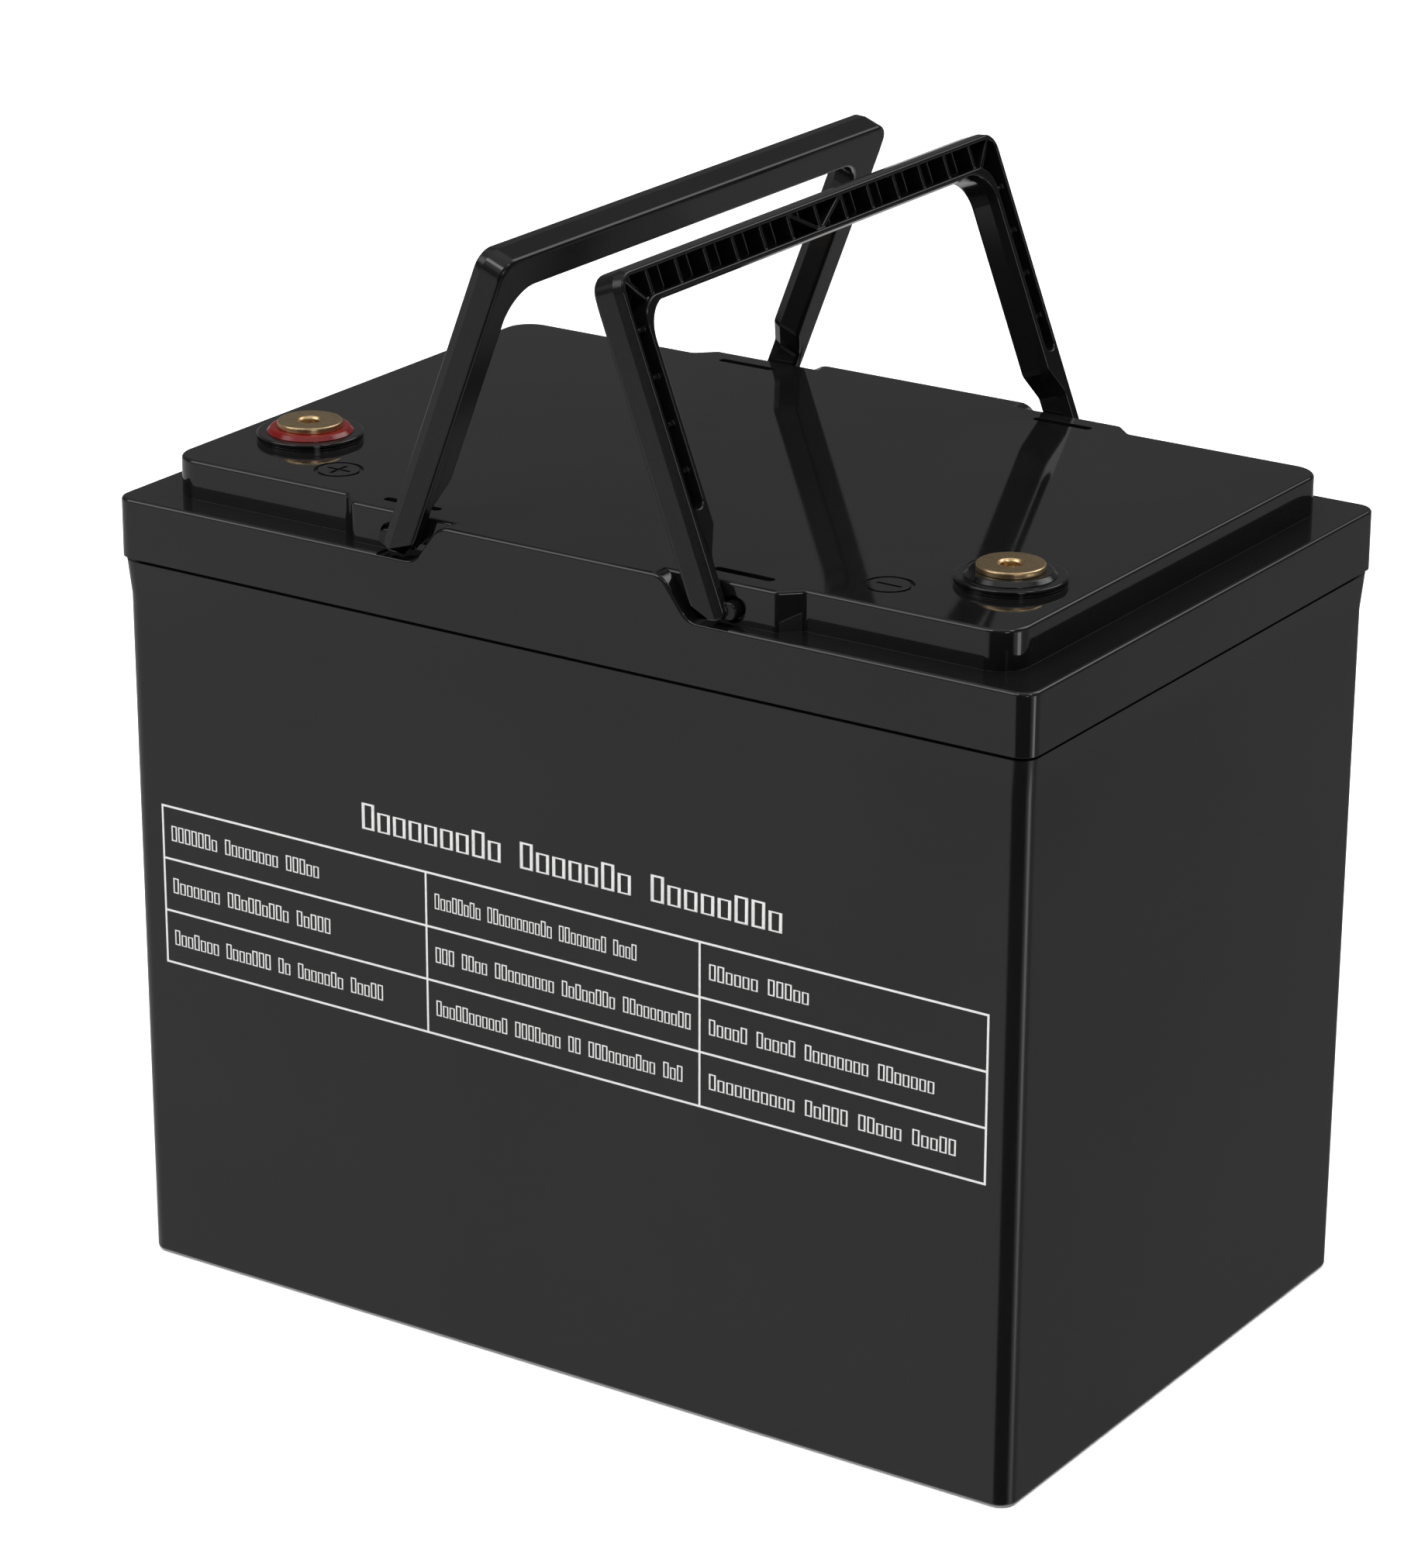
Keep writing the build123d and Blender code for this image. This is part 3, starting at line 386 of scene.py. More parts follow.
class Finishes:
    """Every finish of the pack, each made once and handed out by slot name."""

    def __init__(self) -> None:
        """Make all the materials of the record's slots."""
        black = (0.0032, 0.0032, 0.0033)
        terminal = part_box("positive_terminal")
        centre = (terminal[0] + terminal[1]) / 2
        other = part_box("negative_terminal")
        other_centre = (other[0] + other[1]) / 2
        brass = (0.78, 0.57, 0.32)
        brown = (0.42, 0.28, 0.13)
        recipes = {
            "case_plastic": MouldedPlastic("case_abs", black, 0.2, 0.003, 2300.0),
            "cover_plastic": MouldedPlastic("cover_abs", black, 0.055, 0.0006, 2600.0),
            "handle_plastic": MouldedPlastic("bail_polypropylene", black, 0.15, 0.0006, 1900.0, 0.25, 0.36),
            "sealant": Foam("cover_sealant", (0.02, 0.02, 0.021), 300.0, 0.05, 0.6),
            "terminal_brass": Metal("positive_brass", brass, brown, 0.3, tuple(centre)),
            "negative_brass": Metal("negative_brass", brass, brown, 0.3, tuple(other_centre)),
            "ring_red": MouldedPlastic("positive_red", (0.08, 0.002, 0.002), 0.1, 0.001, 1500.0, 0.15),
            "ring_black": MouldedPlastic("negative_black", black, 0.1, 0.001, 1500.0),
            "seal_rubber": Foam("o_ring_rubber", (0.012, 0.012, 0.012), 1800.0, 0.01, 0.5),
            "zinc_steel": Metal(
                "zinc_plated_steel", (0.6, 0.61, 0.63), (0.42, 0.4, 0.36), 0.32, None, Axis.X
            ),
            "cell_wrap": MouldedPlastic("blue_cell_film", (0.012, 0.07, 0.28), 0.28, 0.006, 420.0, 0.18),
            "post_aluminium": Metal(
                "post_aluminium", (0.78, 0.79, 0.8), (0.55, 0.55, 0.56), 0.35, None, Axis.X
            ),
            "spacer_sheet": Laminate("spacer_fibre", (0.05, 0.05, 0.052), (0.09, 0.09, 0.09), 0.8, 0.7),
            "glass_fibre": Laminate("glass_fibre_sheet", (0.35, 0.33, 0.16), (0.5, 0.48, 0.3), 1.2, 0.4),
            "strap_steel": Metal("strap_steel", (0.55, 0.56, 0.58), (0.36, 0.36, 0.38), 0.3, None, Axis.Z),
            "busbar_metal": Metal("busbar_nickel", (0.7, 0.68, 0.62), (0.52, 0.49, 0.42), 0.28, None, Axis.Y),
            "barrier_sheet": Laminate("barrier_paper", (0.5, 0.48, 0.4), (0.62, 0.6, 0.52), 0.5, 0.65),
            "foam": Foam("pack_foam", (0.035, 0.035, 0.037), 700.0, 0.15),
            "circuit_board": Laminate("board_resist", (0.004, 0.09, 0.03), (0.01, 0.16, 0.06), 0.6, 0.3),
            "heat_plate": Metal("heat_plate", (0.7, 0.71, 0.73), (0.5, 0.5, 0.52), 0.38, None, Axis.Y),
            "chip_plastic": MouldedPlastic("chip_epoxy", (0.012, 0.012, 0.013), 0.45, 0.004, 2600.0),
            "socket_plastic": MouldedPlastic("socket_nylon", (0.6, 0.57, 0.48), 0.4, 0.002, 1200.0, 0.08),
            "copper_land": Metal("tinned_copper", (0.75, 0.42, 0.28), (0.5, 0.28, 0.18), 0.35, None, Axis.X),
            "standoff_brass": Metal("standoff_brass", brass, brown, 0.3, None, Axis.Z),
            "tray_plastic": MouldedPlastic("tray_polycarbonate", (0.03, 0.03, 0.032), 0.4, 0.004, 1300.0),
            "lead_red": MouldedPlastic("red_silicone", (0.33, 0.012, 0.01), 0.42, 0.004, 900.0, 0.12),
            "lead_black": MouldedPlastic("black_silicone", (0.014, 0.014, 0.014), 0.42, 0.004, 900.0),
            "lead_white": MouldedPlastic("white_silicone", (0.55, 0.54, 0.5), 0.42, 0.004, 900.0, 0.06),
            "print_white": Ink("white_ink", (0.48, 0.48, 0.475), (0.3, 0.3, 0.3)),
        }
        self.materials = {slot: recipe.make() for slot, recipe in recipes.items()}

    def dress(self, thing: bpy.types.Object, slot: str) -> None:
        """Give an object one finish in all its material slots.

        Args:
            thing: The object to dress.
            slot: Name of the finish.
        """
        material = self.materials[slot]
        if not thing.material_slots:
            thing.data.materials.append(material)
        for holder in thing.material_slots:
            holder.link = "OBJECT"
            holder.material = material


# ---------------------------------------------------------------- mesh helpers
def add_piece(name: str, mesh: bpy.types.Mesh, body: Body, slot: str, finishes: Finishes,
              finish: str | None = None) -> bpy.types.Object:
    """Put a finished mesh into the scene as a piece of the pack.

    Args:
        name: Name of the piece.
        mesh: Its mesh, in place.
        body: The body that it rides on.
        slot: The record's slot that it takes its finish from.
        finishes: The made materials.
        finish: Material to use where it isn't the slot's own.

    Returns:
        The new object.
    """
    thing = bpy.data.objects.new(name, mesh)
    bpy.context.scene.collection.objects.link(thing)
    finishes.dress(thing, finish or slot)
    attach(thing, body.value)
    log.info("piece %s: %d faces on %s", name, len(mesh.polygons), body.value)
    return thing


def mesh_from(build: bmesh.types.BMesh, name: str, smooth_angle: float = 40.0) -> bpy.types.Mesh:
    """Turn a BMesh into a mesh with smooth shading up to an angle.

    Args:
        build: The shape, which is freed.
        name: Name of the mesh.
        smooth_angle: Edges sharper than this, in degrees, stay sharp.

    Returns:
        The new mesh.
    """
    mesh = bpy.data.meshes.new(name)
    build.to_mesh(mesh)
    build.free()
    mesh.shade_smooth()
    mesh.set_sharp_from_angle(angle=math.radians(smooth_angle))
    return mesh


def merged_copy(node: str) -> bpy.types.Mesh:
    """Copy a node's mesh with its loose triangles joined into clean faces.

    Args:
        node: Name of the node.

    Returns:
        The joined copy.
    """
    build = bmesh.new()
    build.from_mesh(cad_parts[node].data)
    bmesh.ops.remove_doubles(build, verts=build.verts, dist=0.002 * MM)
    bmesh.ops.dissolve_degenerate(build, edges=build.edges, dist=0.001 * MM)
    bmesh.ops.dissolve_limit(
        build, angle_limit=math.radians(0.6), verts=build.verts, edges=build.edges, delimit={"NORMAL"}
    )
    copy = mesh_from(build, node + "_joined", 28.0)
    copy.materials.clear()
    return copy


def soften(thing: bpy.types.Object, width: float, angle: float = 30.0,
           segments: int = 2) -> bpy.types.Modifier:
    """Round the sharp edges of a piece a little.

    Args:
        thing: The piece.
        width: Width of the rounding in millimetres.
        angle: Only edges sharper than this, in degrees, are rounded.
        segments: Number of faces across the rounding.

    Returns:
        The modifier, for further settings.
    """
    bevel = thing.modifiers.new("edge_round", "BEVEL")
    bevel.width = width * MM
    bevel.segments = segments
    bevel.limit_method = "ANGLE"
    bevel.angle_limit = math.radians(angle)
    bevel.miter_outer = "MITER_ARC"
    evener = thing.modifiers.new("even_shading", "WEIGHTED_NORMAL")
    evener.mode = "FACE_AREA"
    evener.keep_sharp = True
    return bevel


# ---------------------------------------------------------------- geometry nodes
class Repeater:
    """A Geometry Nodes tree under construction, with named inputs."""

    def __init__(self, name: str) -> None:
        """Start a tree with one geometry input and one geometry output.

        Args:
            name: Name of the tree.
        """
        self.tree = bpy.data.node_groups.new(name, "GeometryNodeTree")
        for side in ("INPUT", "OUTPUT"):
            self.tree.interface.new_socket("Geometry", in_out=side, socket_type="NodeSocketGeometry")
        self.entry = self.tree.nodes.new("NodeGroupInput")
        self.exit = self.tree.nodes.new("NodeGroupOutput")

    def size(self, name: str, kind: str, value: float) -> str:
        """Add a named input.

        Args:
            name: Name that the modifier shows.
            kind: Socket type, Float or Int.
            value: Default value.

        Returns:
            The name, to ask the input's socket by.
        """
        item = self.tree.interface.new_socket(name, in_out="INPUT", socket_type="NodeSocket" + kind)
        item.default_value = value
        return name

    def node(self, kind: str, values: dict, **settings: object) -> bpy.types.Node:
        """Add a node; a string value links the tree's input of that name.

        Args:
            kind: Blender's node type.
            values: Input name or index to a number, a socket or an input's name.
            **settings: Attributes of the node itself.

        Returns:
            The new node.
        """
        node = self.tree.nodes.new(kind)
        for key, value in settings.items():
            setattr(node, key, value)
        for key, value in values.items():
            source = self.entry.outputs[value] if isinstance(value, str) else value
            if isinstance(source, bpy.types.NodeSocket):
                self.tree.links.new(source, node.inputs[key])
            else:
                node.inputs[key].default_value = source
        return node

    def close(self, geometry: bpy.types.NodeSocket, material: bpy.types.Material) -> None:
        """End the tree in real geometry with its material.

        Args:
            geometry: The last geometry.
            material: Material of the result.
        """
        real = self.node("GeometryNodeRealizeInstances", {0: geometry})
        dressed = self.node("GeometryNodeSetMaterial", {"Geometry": real.outputs[0], "Material": material})
        self.tree.links.new(dressed.outputs[0], self.exit.inputs[0])

    def bake(self, name: str, base: bpy.types.Mesh, sizes: dict[str, float]) -> bpy.types.Mesh:
        """Run the tree on a mesh and return the result as a plain mesh.

        Args:
            name: Name of the new mesh.
            base: Mesh that the tree starts from.
            sizes: Input name to value.

        Returns:
            The baked mesh.
        """
        holder = bpy.data.objects.new(name + "_holder", base)
        bpy.context.scene.collection.objects.link(holder)
        modifier = holder.modifiers.new("repeat", "NODES")
        modifier.node_group = self.tree
        for item in self.tree.interface.items_tree:
            if item.in_out == "INPUT" and item.name in sizes:
                modifier[item.identifier] = sizes[item.name]
        graph = bpy.context.evaluated_depsgraph_get()
        baked = bpy.data.meshes.new_from_object(holder.evaluated_get(graph))
        baked.name = name
        bpy.data.objects.remove(holder)
        return baked


# ---------------------------------------------------------------- housing
@dataclass
class Housing:
    """The case and its cover, joined and with softened edges."""

    finishes: Finishes
    case_edge: float = 0.45
    cover_edge: float = 0.4

    def build(self) -> None:
        """Make both mouldings and dress the seal between them."""
        for node, slot, edge in (
            ("case", "case_plastic", self.case_edge),
            ("cover", "cover_plastic", self.cover_edge),
        ):
            shell = add_piece(node + "_shell", merged_copy(node), Body.HOUSING, slot, self.finishes)
            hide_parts(node)
            soften(shell, edge)
        self.finishes.dress(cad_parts["cover_seal"], "sealant")


@dataclass
class Bail:
    """One folding carrying bail."""

    finishes: Finishes
    node: str
    body: Body
    lean: float = 21.0
    smooth_edge: float = 1.0
    rim_edge: float = 0.4

    def build(self) -> None:
        """Make the bail from its node, well rounded on its smooth side."""
        mesh = merged_copy(self.node)
        self._weigh_edges(mesh)
        shell = add_piece(self.node + "_moulding", mesh, self.body, "handle_plastic", self.finishes)
        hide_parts(self.node)
        bevel = soften(shell, self.smooth_edge, segments=4)
        bevel.limit_method = "WEIGHT"
        bevel.use_clamp_overlap = False

    def _through(self) -> Vector:
        """Direction from the ribbed side of the bail to its smooth side.

        Returns:
            A unit vector across the legs, square to the pivot.
        """
        inward = 1.0 if self.body is Body.LEFT_BAIL else -1.0
        lean = math.radians(self.lean)
        return Vector((inward * math.cos(lean), 0.0, -math.sin(lean)))

    def _weigh_edges(self, mesh: bpy.types.Mesh) -> None:
        """Give every sharp edge its share of the rounding.

        Args:
            mesh: The bail's mesh, in place.
        """
        across = self._through()
        face = max(vertex.co.dot(across) for vertex in mesh.vertices)
        build = bmesh.new()
        build.from_mesh(mesh)
        weight = build.edges.layers.float.new("bevel_weight_edge")
        for edge in build.edges:
            if len(edge.link_faces) == 2 and edge.calc_face_angle() > math.radians(28.0):
                smooth = all(face - vertex.co.dot(across) < 0.2 * MM for vertex in edge.verts)
                edge[weight] = 1.0 if smooth else self.rim_edge / self.smooth_edge
        build.to_mesh(mesh)
        build.free()


# ---------------------------------------------------------------- terminals
@dataclass
class Terminal:
    """One brass terminal with its thread and its coloured collar."""

    finishes: Finishes
    sign: str
    ring_slot: str
    brass: str
    thread_pitch: float = 0.8
    thread_radius: float = 2.5
    thread_tooth: float = 0.3
    thread_depth: float = 9.0
    thread_below_top: float = 1.5

    def build(self) -> None:
        """Make the head with its softened edge, the thread and the collar."""
        node = self.sign + "_terminal"
        low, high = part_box(node)
        middle = (low + high) / 2
        slot = "terminal_brass"
        mesh = merged_copy(node)
        head = add_piece(node + "_bush", mesh, Body.HOUSING, slot, self.finishes, self.brass)
        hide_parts(node)
        soften(head, 0.15)
        ring = self.sign + "_ring"
        collar = add_piece(ring + "_collar", merged_copy(ring), Body.HOUSING, self.ring_slot, self.finishes)
        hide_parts(ring)
        soften(collar, 0.25)
        self._thread(Vector((middle.x, middle.y, high.z)))

    def _thread(self, top: Vector) -> None:
        """Cut turns into the hole, as a spiral tooth that stands in from its wall.

        Args:
            top: Middle of the head's top face.
        """
        tree = Repeater(self.sign + "_thread_turns")
        tree.size("Turns", "Float", 10.0)
        tree.size("Radius", "Float", self.thread_radius * MM)
        tree.size("Height", "Float", self.thread_depth * MM)
        tree.size("Tooth", "Float", self.thread_tooth * MM)
        values = {
            "Resolution": 40, "Rotations": "Turns", "Start Radius": "Radius",
            "End Radius": "Radius", "Height": "Height",
        }
        helix = tree.node("GeometryNodeCurveSpiral", values)
        values = {"Resolution": 3, "Radius": "Tooth"}
        tooth = tree.node("GeometryNodeCurvePrimitiveCircle", values, mode="RADIUS")
        values = {"Curve": helix.outputs[0], "Profile Curve": tooth.outputs[0], "Fill Caps": True}
        swept = tree.node("GeometryNodeCurveToMesh", values)
        tree.close(swept.outputs[0], self.finishes.materials[self.brass])
        sizes = {"Turns": self.thread_depth / self.thread_pitch, "Height": self.thread_depth * MM}
        mesh = tree.bake(self.sign + "_thread", bpy.data.meshes.new("empty"), sizes)
        drop = (self.thread_depth + self.thread_below_top) * MM
        mesh.transform(Matrix.Translation(top - Vector((0, 0, drop))))
        mesh.update()
        add_piece(self.sign + "_thread", mesh, Body.HOUSING, "terminal_brass", self.finishes, self.brass)


# ---------------------------------------------------------------- printed table
@dataclass(frozen=True)
class MarkRow:
    """Marks of one cell of the table: the number in each group and how far they reach."""

    groups: tuple[int, ...]
    reach: float

    def pitch(self, width: float) -> float:
        """Distance between marks that fills a width.

        Args:
            width: Room for the whole row.

        Returns:
            The pitch, in the same unit.
        """
        return width * self.reach / (sum(self.groups) + len(self.groups) - 1)


@dataclass
class PrintedPanel:
    """White table of three columns and three rows, with plain marks in place of words."""

    finishes: Finishes
    left: float = -117.3
    right: float = 118.4
    dividers: tuple[float, float] = (-37.2, 41.1)
    top: float = 122.5
    bottom: float = 81.1
    rows: int = 3
    line: float = 0.55
    film: float = 0.02
    title_left: float = -56.3
    title_right: float = 64.1
    title_height: float = 6.2
    title_z: float = 132.9
    title_words: tuple[int, ...] = (9, 7, 8)
    indent: float = 2.4
    mark_height: float = 3.7
    mark_width: float = 0.62
    mark_stroke: float = 0.42
    seed: int = 11
    rows_of_marks: tuple[MarkRow, ...] = (
        MarkRow((7, 8, 5), 0.59), MarkRow((8, 11, 8, 4), 0.77), MarkRow((6, 5), 0.37),
        MarkRow((7, 9, 5), 0.63), MarkRow((3, 4, 9, 8, 10), 0.97), MarkRow((5, 5, 8, 7), 0.82),
        MarkRow((7, 7, 2, 7, 5), 0.83), MarkRow((11, 7, 2, 10, 3), 0.94), MarkRow((10, 5, 5, 5), 0.9),
    )

    def build(self) -> None:
        """Make the lines and the marks of the table."""
        self.wall = self._wall()
        self._lines()
        self._marks()

    def _wall(self) -> BVHTree:
        """Make a search tree of the case to lay the ink on.

        Returns:
            The search tree.
        """
        build = bmesh.new()
        build.from_mesh(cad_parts["case"].data)
        tree = BVHTree.FromBMesh(build)
        build.free()
        return tree

    def _face_y(self, z: float) -> float:
        """Depth of the printed face at a height.

        Args:
            z: Height in metres.

        Returns:
            The face's place along Y, in metres.
        """
        start = Vector((0.0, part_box("case")[0].y - 0.05, z))
        return self.wall.ray_cast(start, Vector((0, 1, 0)))[0].y

    def _ribbon(self, build: bmesh.types.BMesh, x0: float, x1: float, z0: float, z1: float) -> None:
        """Lay one thin bar of ink on the face.

        Args:
            build: The shape to add to.
            x0: Left end in millimetres.
            x1: Right end in millimetres.
            z0: Lower side in millimetres.
            z1: Upper side in millimetres.
        """
        high_y = self._face_y(z1 * MM)
        low_y = self._face_y(z0 * MM)
        corners = []
        for y_shift in (-self.film * MM, self.film * MM):
            for x, y, z in ((x0, low_y, z0), (x1, low_y, z0), (x1, high_y, z1), (x0, high_y, z1)):
                corners.append(build.verts.new((x * MM, y + y_shift, z * MM)))
        front, back = corners[:4], corners[4:]
        build.faces.new(front)
        build.faces.new(back[::-1])
        for i in range(4):
            j = (i + 1) % 4
            build.faces.new((front[j], front[i], back[i], back[j]))

    def _lines(self) -> None:
        """Make the frame of the table and the lines between its cells."""
        build = bmesh.new()
        half = self.line / 2
        step = (self.top - self.bottom) / self.rows
        for i in range(self.rows + 1):
            z = self.bottom + i * step
            self._ribbon(build, self.left - half, self.right + half, z - half, z + half)
        for x in (self.left, *self.dividers, self.right):
            for i in range(self.rows):
                z = self.bottom + i * step
                self._ribbon(build, x - half, x + half, z + half, z + step - half)
        bmesh.ops.recalc_face_normals(build, faces=build.faces)
        mesh = mesh_from(build, "table_lines")
        add_piece("table_lines", mesh, Body.HOUSING, "case_plastic", self.finishes, "print_white")

    def _marks(self) -> None:
        """Make the marks of every row with one tree of repeated outlines."""
        points = []
        step = (self.top - self.bottom) / self.rows
        edges = (self.left, *self.dividers, self.right)
        for index, cell in enumerate(self.rows_of_marks):
            row, column = divmod(index, len(edges) - 1)
            z = self.top - (row + 0.5) * step - self.mark_height / 2
            x = edges[column] + self.indent
            pitch = cell.pitch(edges[column + 1] - x)
            self._place_marks(points, cell.groups, x, z, pitch, 1.0)
        title = MarkRow(self.title_words, 1.0)
        pitch = title.pitch(self.title_right - self.title_left)
        low = self.title_z - self.title_height / 2
        tall = self.title_height / self.mark_height
        self._place_marks(points, self.title_words, self.title_left, low, pitch, tall)
        base = bpy.data.meshes.new("mark_points")
        base.from_pydata([place for place, _, _, _ in points], [], [])
        for column, name in enumerate(("mark_wide", "mark_tall", "mark_first"), 1):
            values = base.attributes.new(name, "FLOAT", "POINT")
            values.data.foreach_set("value", [point[column] for point in points])
        self._bake_marks(base)

    def _place_marks(self, points: list, groups: tuple[int, ...], x: float, z: float, pitch: float,
                     tall: float) -> None:
        """Lay out the marks of one row.

        Args:
            points: List of places and scales to add to.
            groups: Number of marks in each group.
            x: Left end of the first mark in millimetres.
            z: Foot of the row in millimetres.
            pitch: Distance between marks in millimetres.
            tall: Scale of the marks' height.
        """
        for count in groups:
            for index in range(count):
                place = ((x + pitch / 2) * MM, self._face_y(z * MM) - self.film * MM, z * MM)
                points.append((place, pitch * self.mark_width, tall, float(index == 0)))
                x += pitch
            x += pitch

    def _bake_marks(self, base: bpy.types.Mesh) -> None:
        """Put a small upright outline on every point, tall or short by chance.

        Args:
            base: Points with a width, a height and a sign for the first of a group.
        """
        tree = Repeater("printed_marks")
        tree.size("Height", "Float", self.mark_height * MM)
        tree.size("Stroke", "Float", self.mark_stroke * MM)
        tree.size("Film", "Float", 2 * self.film * MM)
        tree.size("Short", "Float", 0.74)
        tree.size("Share of tall", "Float", 0.3)
        tree.size("Seed", "Int", self.seed)
        wide, tall, first = (
            tree.node("GeometryNodeInputNamedAttribute", {}, data_type="FLOAT") for _ in range(3)
        )
        for reader, name in ((wide, "mark_wide"), (tall, "mark_tall"), (first, "mark_first")):
            reader.inputs["Name"].default_value = name
        values = {"Probability": "Share of tall", "Seed": "Seed"}
        chance = tree.node("FunctionNodeRandomValue", values, data_type="BOOLEAN")
        values = {0: chance.outputs[3], 1: first.outputs[0]}
        is_tall = tree.node("ShaderNodeMath", values, operation="MAXIMUM")
        share = tree.node("ShaderNodeMapRange", {0: is_tall.outputs[0], 3: "Short", 4: 1.0})
        height = tree.node("ShaderNodeMath", {0: share.outputs[0], 1: tall.outputs[0]}, operation="MULTIPLY")
        scale = tree.node("ShaderNodeCombineXYZ", {0: wide.outputs[0], 1: 1.0, 2: height.outputs[0]})
        outline = tree.node("GeometryNodeCurvePrimitiveQuadrilateral", {0: MM, 1: "Height"})
        section = tree.node("GeometryNodeCurvePrimitiveQuadrilateral", {0: "Stroke", 1: "Film"})
        bars = tree.node("GeometryNodeCurveToMesh", {0: outline.outputs[0], 1: section.outputs[0]})
        half = tree.node("ShaderNodeMath", {0: "Height", 1: 0.5}, operation="MULTIPLY")
        lift = tree.node("ShaderNodeCombineXYZ", {2: half.outputs[0]})
        upright = (math.pi / 2, 0.0, 0.0)
        values = {"Geometry": bars.outputs[0], "Translation": lift.outputs[0], "Rotation": upright}
        upright_bars = tree.node("GeometryNodeTransform", values)
        values = {"Points": "Geometry", "Instance": upright_bars.outputs[0], "Scale": scale.outputs[0]}
        placed = tree.node("GeometryNodeInstanceOnPoints", values)
        tree.close(placed.outputs[0], self.finishes.materials["print_white"])
        mesh = tree.bake("table_marks", base, {"Seed": self.seed})
        add_piece("table_marks", mesh, Body.HOUSING, "case_plastic", self.finishes, "print_white")


# ---------------------------------------------------------------- inside
@dataclass
class Inside:
    """The cells, the management board and the leads inside the box."""

    finishes: Finishes
    slots: dict[str, str] = field(default_factory=lambda: {
        "terminal_o_rings": "seal_rubber", "terminal_lock_nuts": "zinc_steel",
        "terminal_lug_screws": "zinc_steel", "terminal_lugs": "busbar_metal",
        "front_end_plate": "glass_fibre", "back_end_plate": "glass_fibre",
        "left_strap": "strap_steel", "right_strap": "strap_steel",
        "busbar_lower_front": "busbar_metal", "busbar_upper_middle": "busbar_metal",
        "busbar_lower_back": "busbar_metal", "positive_tab": "busbar_metal",
        "negative_tab": "busbar_metal", "busbar_nuts": "zinc_steel",
        "busbar_cover_sheet": "barrier_sheet", "end_foam_block": "foam", "floor_pad": "foam",
        "end_pad": "foam", "front_pad": "foam", "back_pad": "foam", "bms_tray": "tray_plastic",
        "bms_board": "circuit_board", "bms_heat_plate": "heat_plate",
        "bms_transistors": "chip_plastic", "bms_connector": "socket_plastic",
        "bms_lead_pads": "copper_land", "bms_standoffs": "standoff_brass",
        "bms_screws": "zinc_steel", "output_lugs": "busbar_metal", "positive_cable": "lead_red",
        "pack_negative_cable": "lead_black", "output_negative_cable": "lead_black",
    })

    def build(self) -> None:
        """Dress every node inside the box."""
        slots = dict(self.slots)
        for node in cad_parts:
            if node.startswith("cell_spacer"):
                slots[node] = "spacer_sheet"
            elif node.startswith("cell_") and node.endswith("_posts"):
                slots[node] = "post_aluminium"
            elif node.startswith("cell_"):
                slots[node] = "cell_wrap"
            elif node.startswith("balance_lead"):
                slots[node] = "lead_white"
        for node, slot in slots.items():
            self.finishes.dress(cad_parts[node], slot)
            log.info("node %s dressed as %s", node, slot)


# ---------------------------------------------------------------- studio
@dataclass(frozen=True)
class Patch:
    """Round area of the room with its own level, full at the inner angle and gone at the outer."""

    azimuth: float
    elevation: float
    inner: float
    outer: float
    level: float


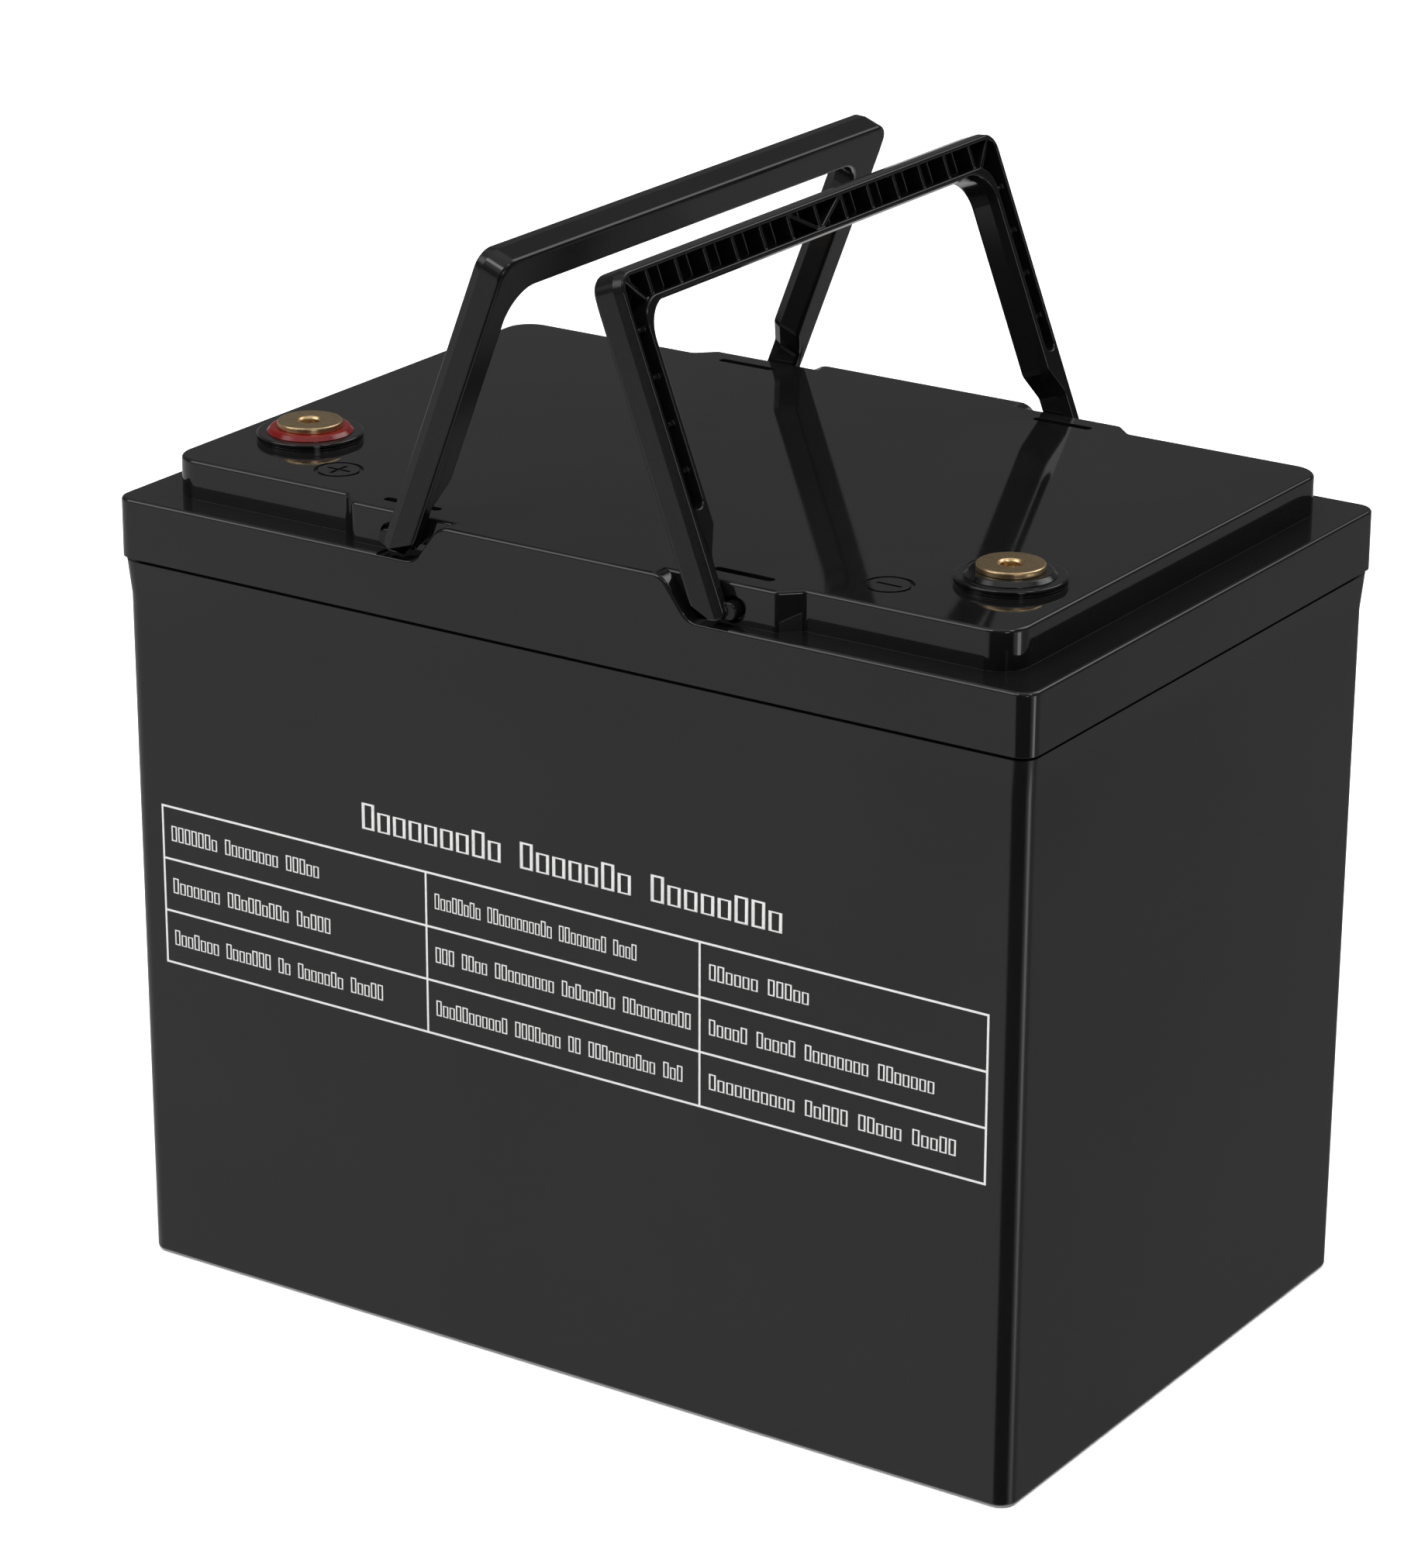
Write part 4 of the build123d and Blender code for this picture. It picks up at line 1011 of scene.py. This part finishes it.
@dataclass
class Studio:
    """Floor, lights, surroundings and camera."""

    azimuth: float = 33.51
    elevation: float = 20.5
    distance: float = 1.32884
    aim_right: float = -0.00926
    aim_up: float = 0.021118
    aim_height: float = 0.105
    roll: float = 0.26
    lens: float = 123.47
    upper_level: float = 0.13
    lower_level: float = 0.6
    lit: tuple[Patch, ...] = (
        Patch(97.0, -20.5, 3.0, 9.0, 2.2),
        Patch(0.0, 90.0, 12.0, 50.0, 0.6),
        Patch(0.0, -90.0, 15.0, 55.0, 1.4),
        Patch(-42.0, 38.0, 8.0, 24.0, 2.4),
        Patch(153.0, 43.0, 8.0, 24.0, 2.4),
        Patch(-15.0, 52.0, 3.0, 9.0, 6.0),
        Patch(82.0, 52.0, 3.0, 9.0, 6.0),
        Patch(52.0, 9.0, 4.0, 11.0, 4.0),
    )

    def build(self) -> None:
        """Set up everything round the object."""
        self._floor()
        self._surroundings()
        self._light("overhead", Vector((0.0, 0.6, 3.0)), size=5.0, power=240.0)
        self._light("front_soft", Vector((-0.9, -2.0, 1.6)), size=1.2, power=26.0)
        self._camera()
        bpy.context.scene.view_settings.view_transform = "Standard"

    def _direction(self, azimuth: float, elevation: float) -> Vector:
        """Unit vector towards a place round the object.

        Args:
            azimuth: Degrees from -Y towards +X.
            elevation: Degrees above the floor.

        Returns:
            The direction.
        """
        turn, lift = math.radians(azimuth), math.radians(elevation)
        flat = math.cos(lift)
        return Vector((math.sin(turn) * flat, -math.cos(turn) * flat, math.sin(lift)))

    def _floor(self) -> None:
        """Lay a large pale floor that gloss doesn't pick up."""
        build = bmesh.new()
        bmesh.ops.create_grid(build, x_segments=8, y_segments=8, size=8.0)
        floor = bpy.data.objects.new("floor", mesh_from(build, "floor"))
        bpy.context.scene.collection.objects.link(floor)
        surface = Surface("pale_floor")
        cloud = surface.noise(3.0, 2.0)
        base = surface.blend(cloud, (0.93, 0.93, 0.93), (0.95, 0.95, 0.95))
        floor.data.materials.append(surface.link(Base_Color=base, Roughness=0.9, Specular_IOR_Level=0.0))
        floor.visible_glossy = False

    def _surroundings(self) -> None:
        """Make the grey room that the gloss reflects, darker towards the camera's side."""
        world = bpy.data.worlds.new("studio_room")
        bpy.context.scene.world = world
        world.use_nodes = True
        tree = world.node_tree
        tree.nodes.clear()
        output = tree.nodes.new("ShaderNodeOutputWorld")
        backdrop = tree.nodes.new("ShaderNodeBackground")
        tree.links.new(backdrop.outputs[0], output.inputs[0])
        room = RoomLight(tree)
        level = room.split(upper=self.upper_level, lower=self.lower_level)
        dark = (
            Patch(self.azimuth, -self.elevation, 34.0, 46.0, 0.03),
            Patch(180.0 - self.azimuth, -self.elevation, 25.0, 45.0, 0.4),
        )
        for patch in dark:
            middle = self._direction(patch.azimuth, patch.elevation)
            level = room.dim(level, middle, patch.inner, patch.outer, patch.level)
        for patch in self.lit:
            middle = self._direction(patch.azimuth, patch.elevation)
            level = room.add(level, middle, patch.inner, patch.outer, patch.level)
        tree.links.new(level, backdrop.inputs["Color"])

    def _light(self, name: str, place: Vector, size: float, power: float) -> None:
        """Add a soft square light that looks at the object.

        Args:
            name: Name of the light.
            place: Where it hangs.
            size: Side of the square in metres.
            power: Power in watts.
        """
        lamp = bpy.data.lights.new(name, "AREA")
        lamp.size = size
        lamp.energy = power
        thing = bpy.data.objects.new(name, lamp)
        thing.location = place
        target = Vector((0, place.y if name == "overhead" else 0, self.aim_height))
        thing.rotation_euler = (place - target).to_track_quat("Z", "Y").to_euler()
        thing.visible_glossy = False
        bpy.context.scene.collection.objects.link(thing)

    def _camera(self) -> None:
        """Set the camera at the object's three-quarter view."""
        back = self._direction(self.azimuth, self.elevation)
        right = Vector((0, 0, 1)).cross(back).normalized()
        up = back.cross(right)
        target = Vector((0, 0, self.aim_height)) + right * self.aim_right + up * self.aim_up
        turn = math.radians(self.roll)
        side = right * math.cos(turn) + up * math.sin(turn)
        top = up * math.cos(turn) - right * math.sin(turn)
        lens = bpy.data.cameras.new("camera")
        lens.lens = self.lens
        lens.sensor_width = 36.0
        lens.sensor_fit = "AUTO"
        lens.clip_end = 50.0
        eye = bpy.data.objects.new("camera", lens)
        turned = Matrix((side, top, back)).transposed().to_4x4()
        eye.matrix_world = Matrix.Translation(target + back * self.distance) @ turned
        bpy.context.scene.collection.objects.link(eye)
        bpy.context.scene.camera = eye


class RoomLight:
    """Brightness of the surroundings as a function of direction."""

    def __init__(self, tree: bpy.types.NodeTree) -> None:
        """Start from the direction that a ray leaves in.

        Args:
            tree: Node tree of the world.
        """
        self.tree = tree
        self.way = tree.nodes.new("ShaderNodeTexCoord").outputs["Generated"]

    def _node(self, kind: str, values: dict, **settings: object) -> bpy.types.NodeSocket:
        """Add a node and return its first output.

        Args:
            kind: Blender's node type.
            values: Input index to a number or a socket.
            **settings: Attributes of the node itself.

        Returns:
            The node's first output.
        """
        node = self.tree.nodes.new(kind)
        for key, value in settings.items():
            setattr(node, key, value)
        for key, value in values.items():
            if isinstance(value, bpy.types.NodeSocket):
                self.tree.links.new(value, node.inputs[key])
            else:
                node.inputs[key].default_value = value
        return node.outputs[0]

    def split(self, upper: float, lower: float) -> bpy.types.NodeSocket:
        """Start with one level above the floor and another below it.

        Args:
            upper: Brightness above the floor.
            lower: Brightness below it, which only gloss sees.

        Returns:
            The brightness.
        """
        height = self.tree.nodes.new("ShaderNodeSeparateXYZ")
        self.tree.links.new(self.way, height.inputs[0])
        values = {0: height.outputs[2], 1: -0.05, 2: 0.05, 3: lower, 4: upper}
        return self._node("ShaderNodeMapRange", values, interpolation_type="SMOOTHSTEP")

    def _patch(self, way: Vector, inner: float, outer: float) -> bpy.types.NodeSocket:
        """One inside a cone round a direction, nought outside it.

        Args:
            way: Middle of the cone.
            inner: Half-angle where the fading starts, in degrees.
            outer: Half-angle where it ends.

        Returns:
            The share from 0 to 1.
        """
        near = self.tree.nodes.new("ShaderNodeVectorMath")
        near.operation = "DOT_PRODUCT"
        self.tree.links.new(self.way, near.inputs[0])
        near.inputs[1].default_value = way
        values = {
            0: near.outputs["Value"], 1: math.cos(math.radians(outer)),
            2: math.cos(math.radians(inner)), 3: 0.0, 4: 1.0,
        }
        return self._node("ShaderNodeMapRange", values, interpolation_type="SMOOTHSTEP")

    def dim(self, level: bpy.types.NodeSocket, way: Vector, inner: float, outer: float,
            factor: float) -> bpy.types.NodeSocket:
        """Darken a patch of the room.

        Args:
            level: Brightness so far.
            way: Middle of the patch.
            inner: Half-angle of its full strength, in degrees.
            outer: Half-angle where it ends.
            factor: Factor on the brightness inside it.

        Returns:
            The new brightness.
        """
        share = self._patch(way, inner, outer)
        values = {0: share, 1: 0.0, 2: 1.0, 3: 1.0, 4: factor}
        kept = self._node("ShaderNodeMapRange", values)
        return self._node("ShaderNodeMath", {0: level, 1: kept}, operation="MULTIPLY")

    def add(self, level: bpy.types.NodeSocket, way: Vector, inner: float, outer: float,
            extra: float) -> bpy.types.NodeSocket:
        """Add a bright patch to the room.

        Args:
            level: Brightness so far.
            way: Middle of the patch.
            inner: Half-angle of its full strength, in degrees.
            outer: Half-angle where it ends.
            extra: Brightness added inside it.

        Returns:
            The new brightness.
        """
        share = self._patch(way, inner, outer)
        more = self._node("ShaderNodeMath", {0: share, 1: extra}, operation="MULTIPLY")
        return self._node("ShaderNodeMath", {0: level, 1: more}, operation="ADD")


def main() -> None:
    """Build every part of the picture in order."""
    logging.basicConfig(level=logging.INFO, format="%(name)s: %(message)s")
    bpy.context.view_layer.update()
    Studio().build()
    finishes = Finishes()
    Inside(finishes).build()
    Housing(finishes).build()
    Bail(finishes, "left_handle", Body.LEFT_BAIL).build()
    Bail(finishes, "right_handle", Body.RIGHT_BAIL).build()
    Terminal(finishes, "positive", "ring_red", "terminal_brass").build()
    Terminal(finishes, "negative", "ring_black", "negative_brass").build()
    PrintedPanel(finishes).build()


if __name__ == "__main__":
    main()
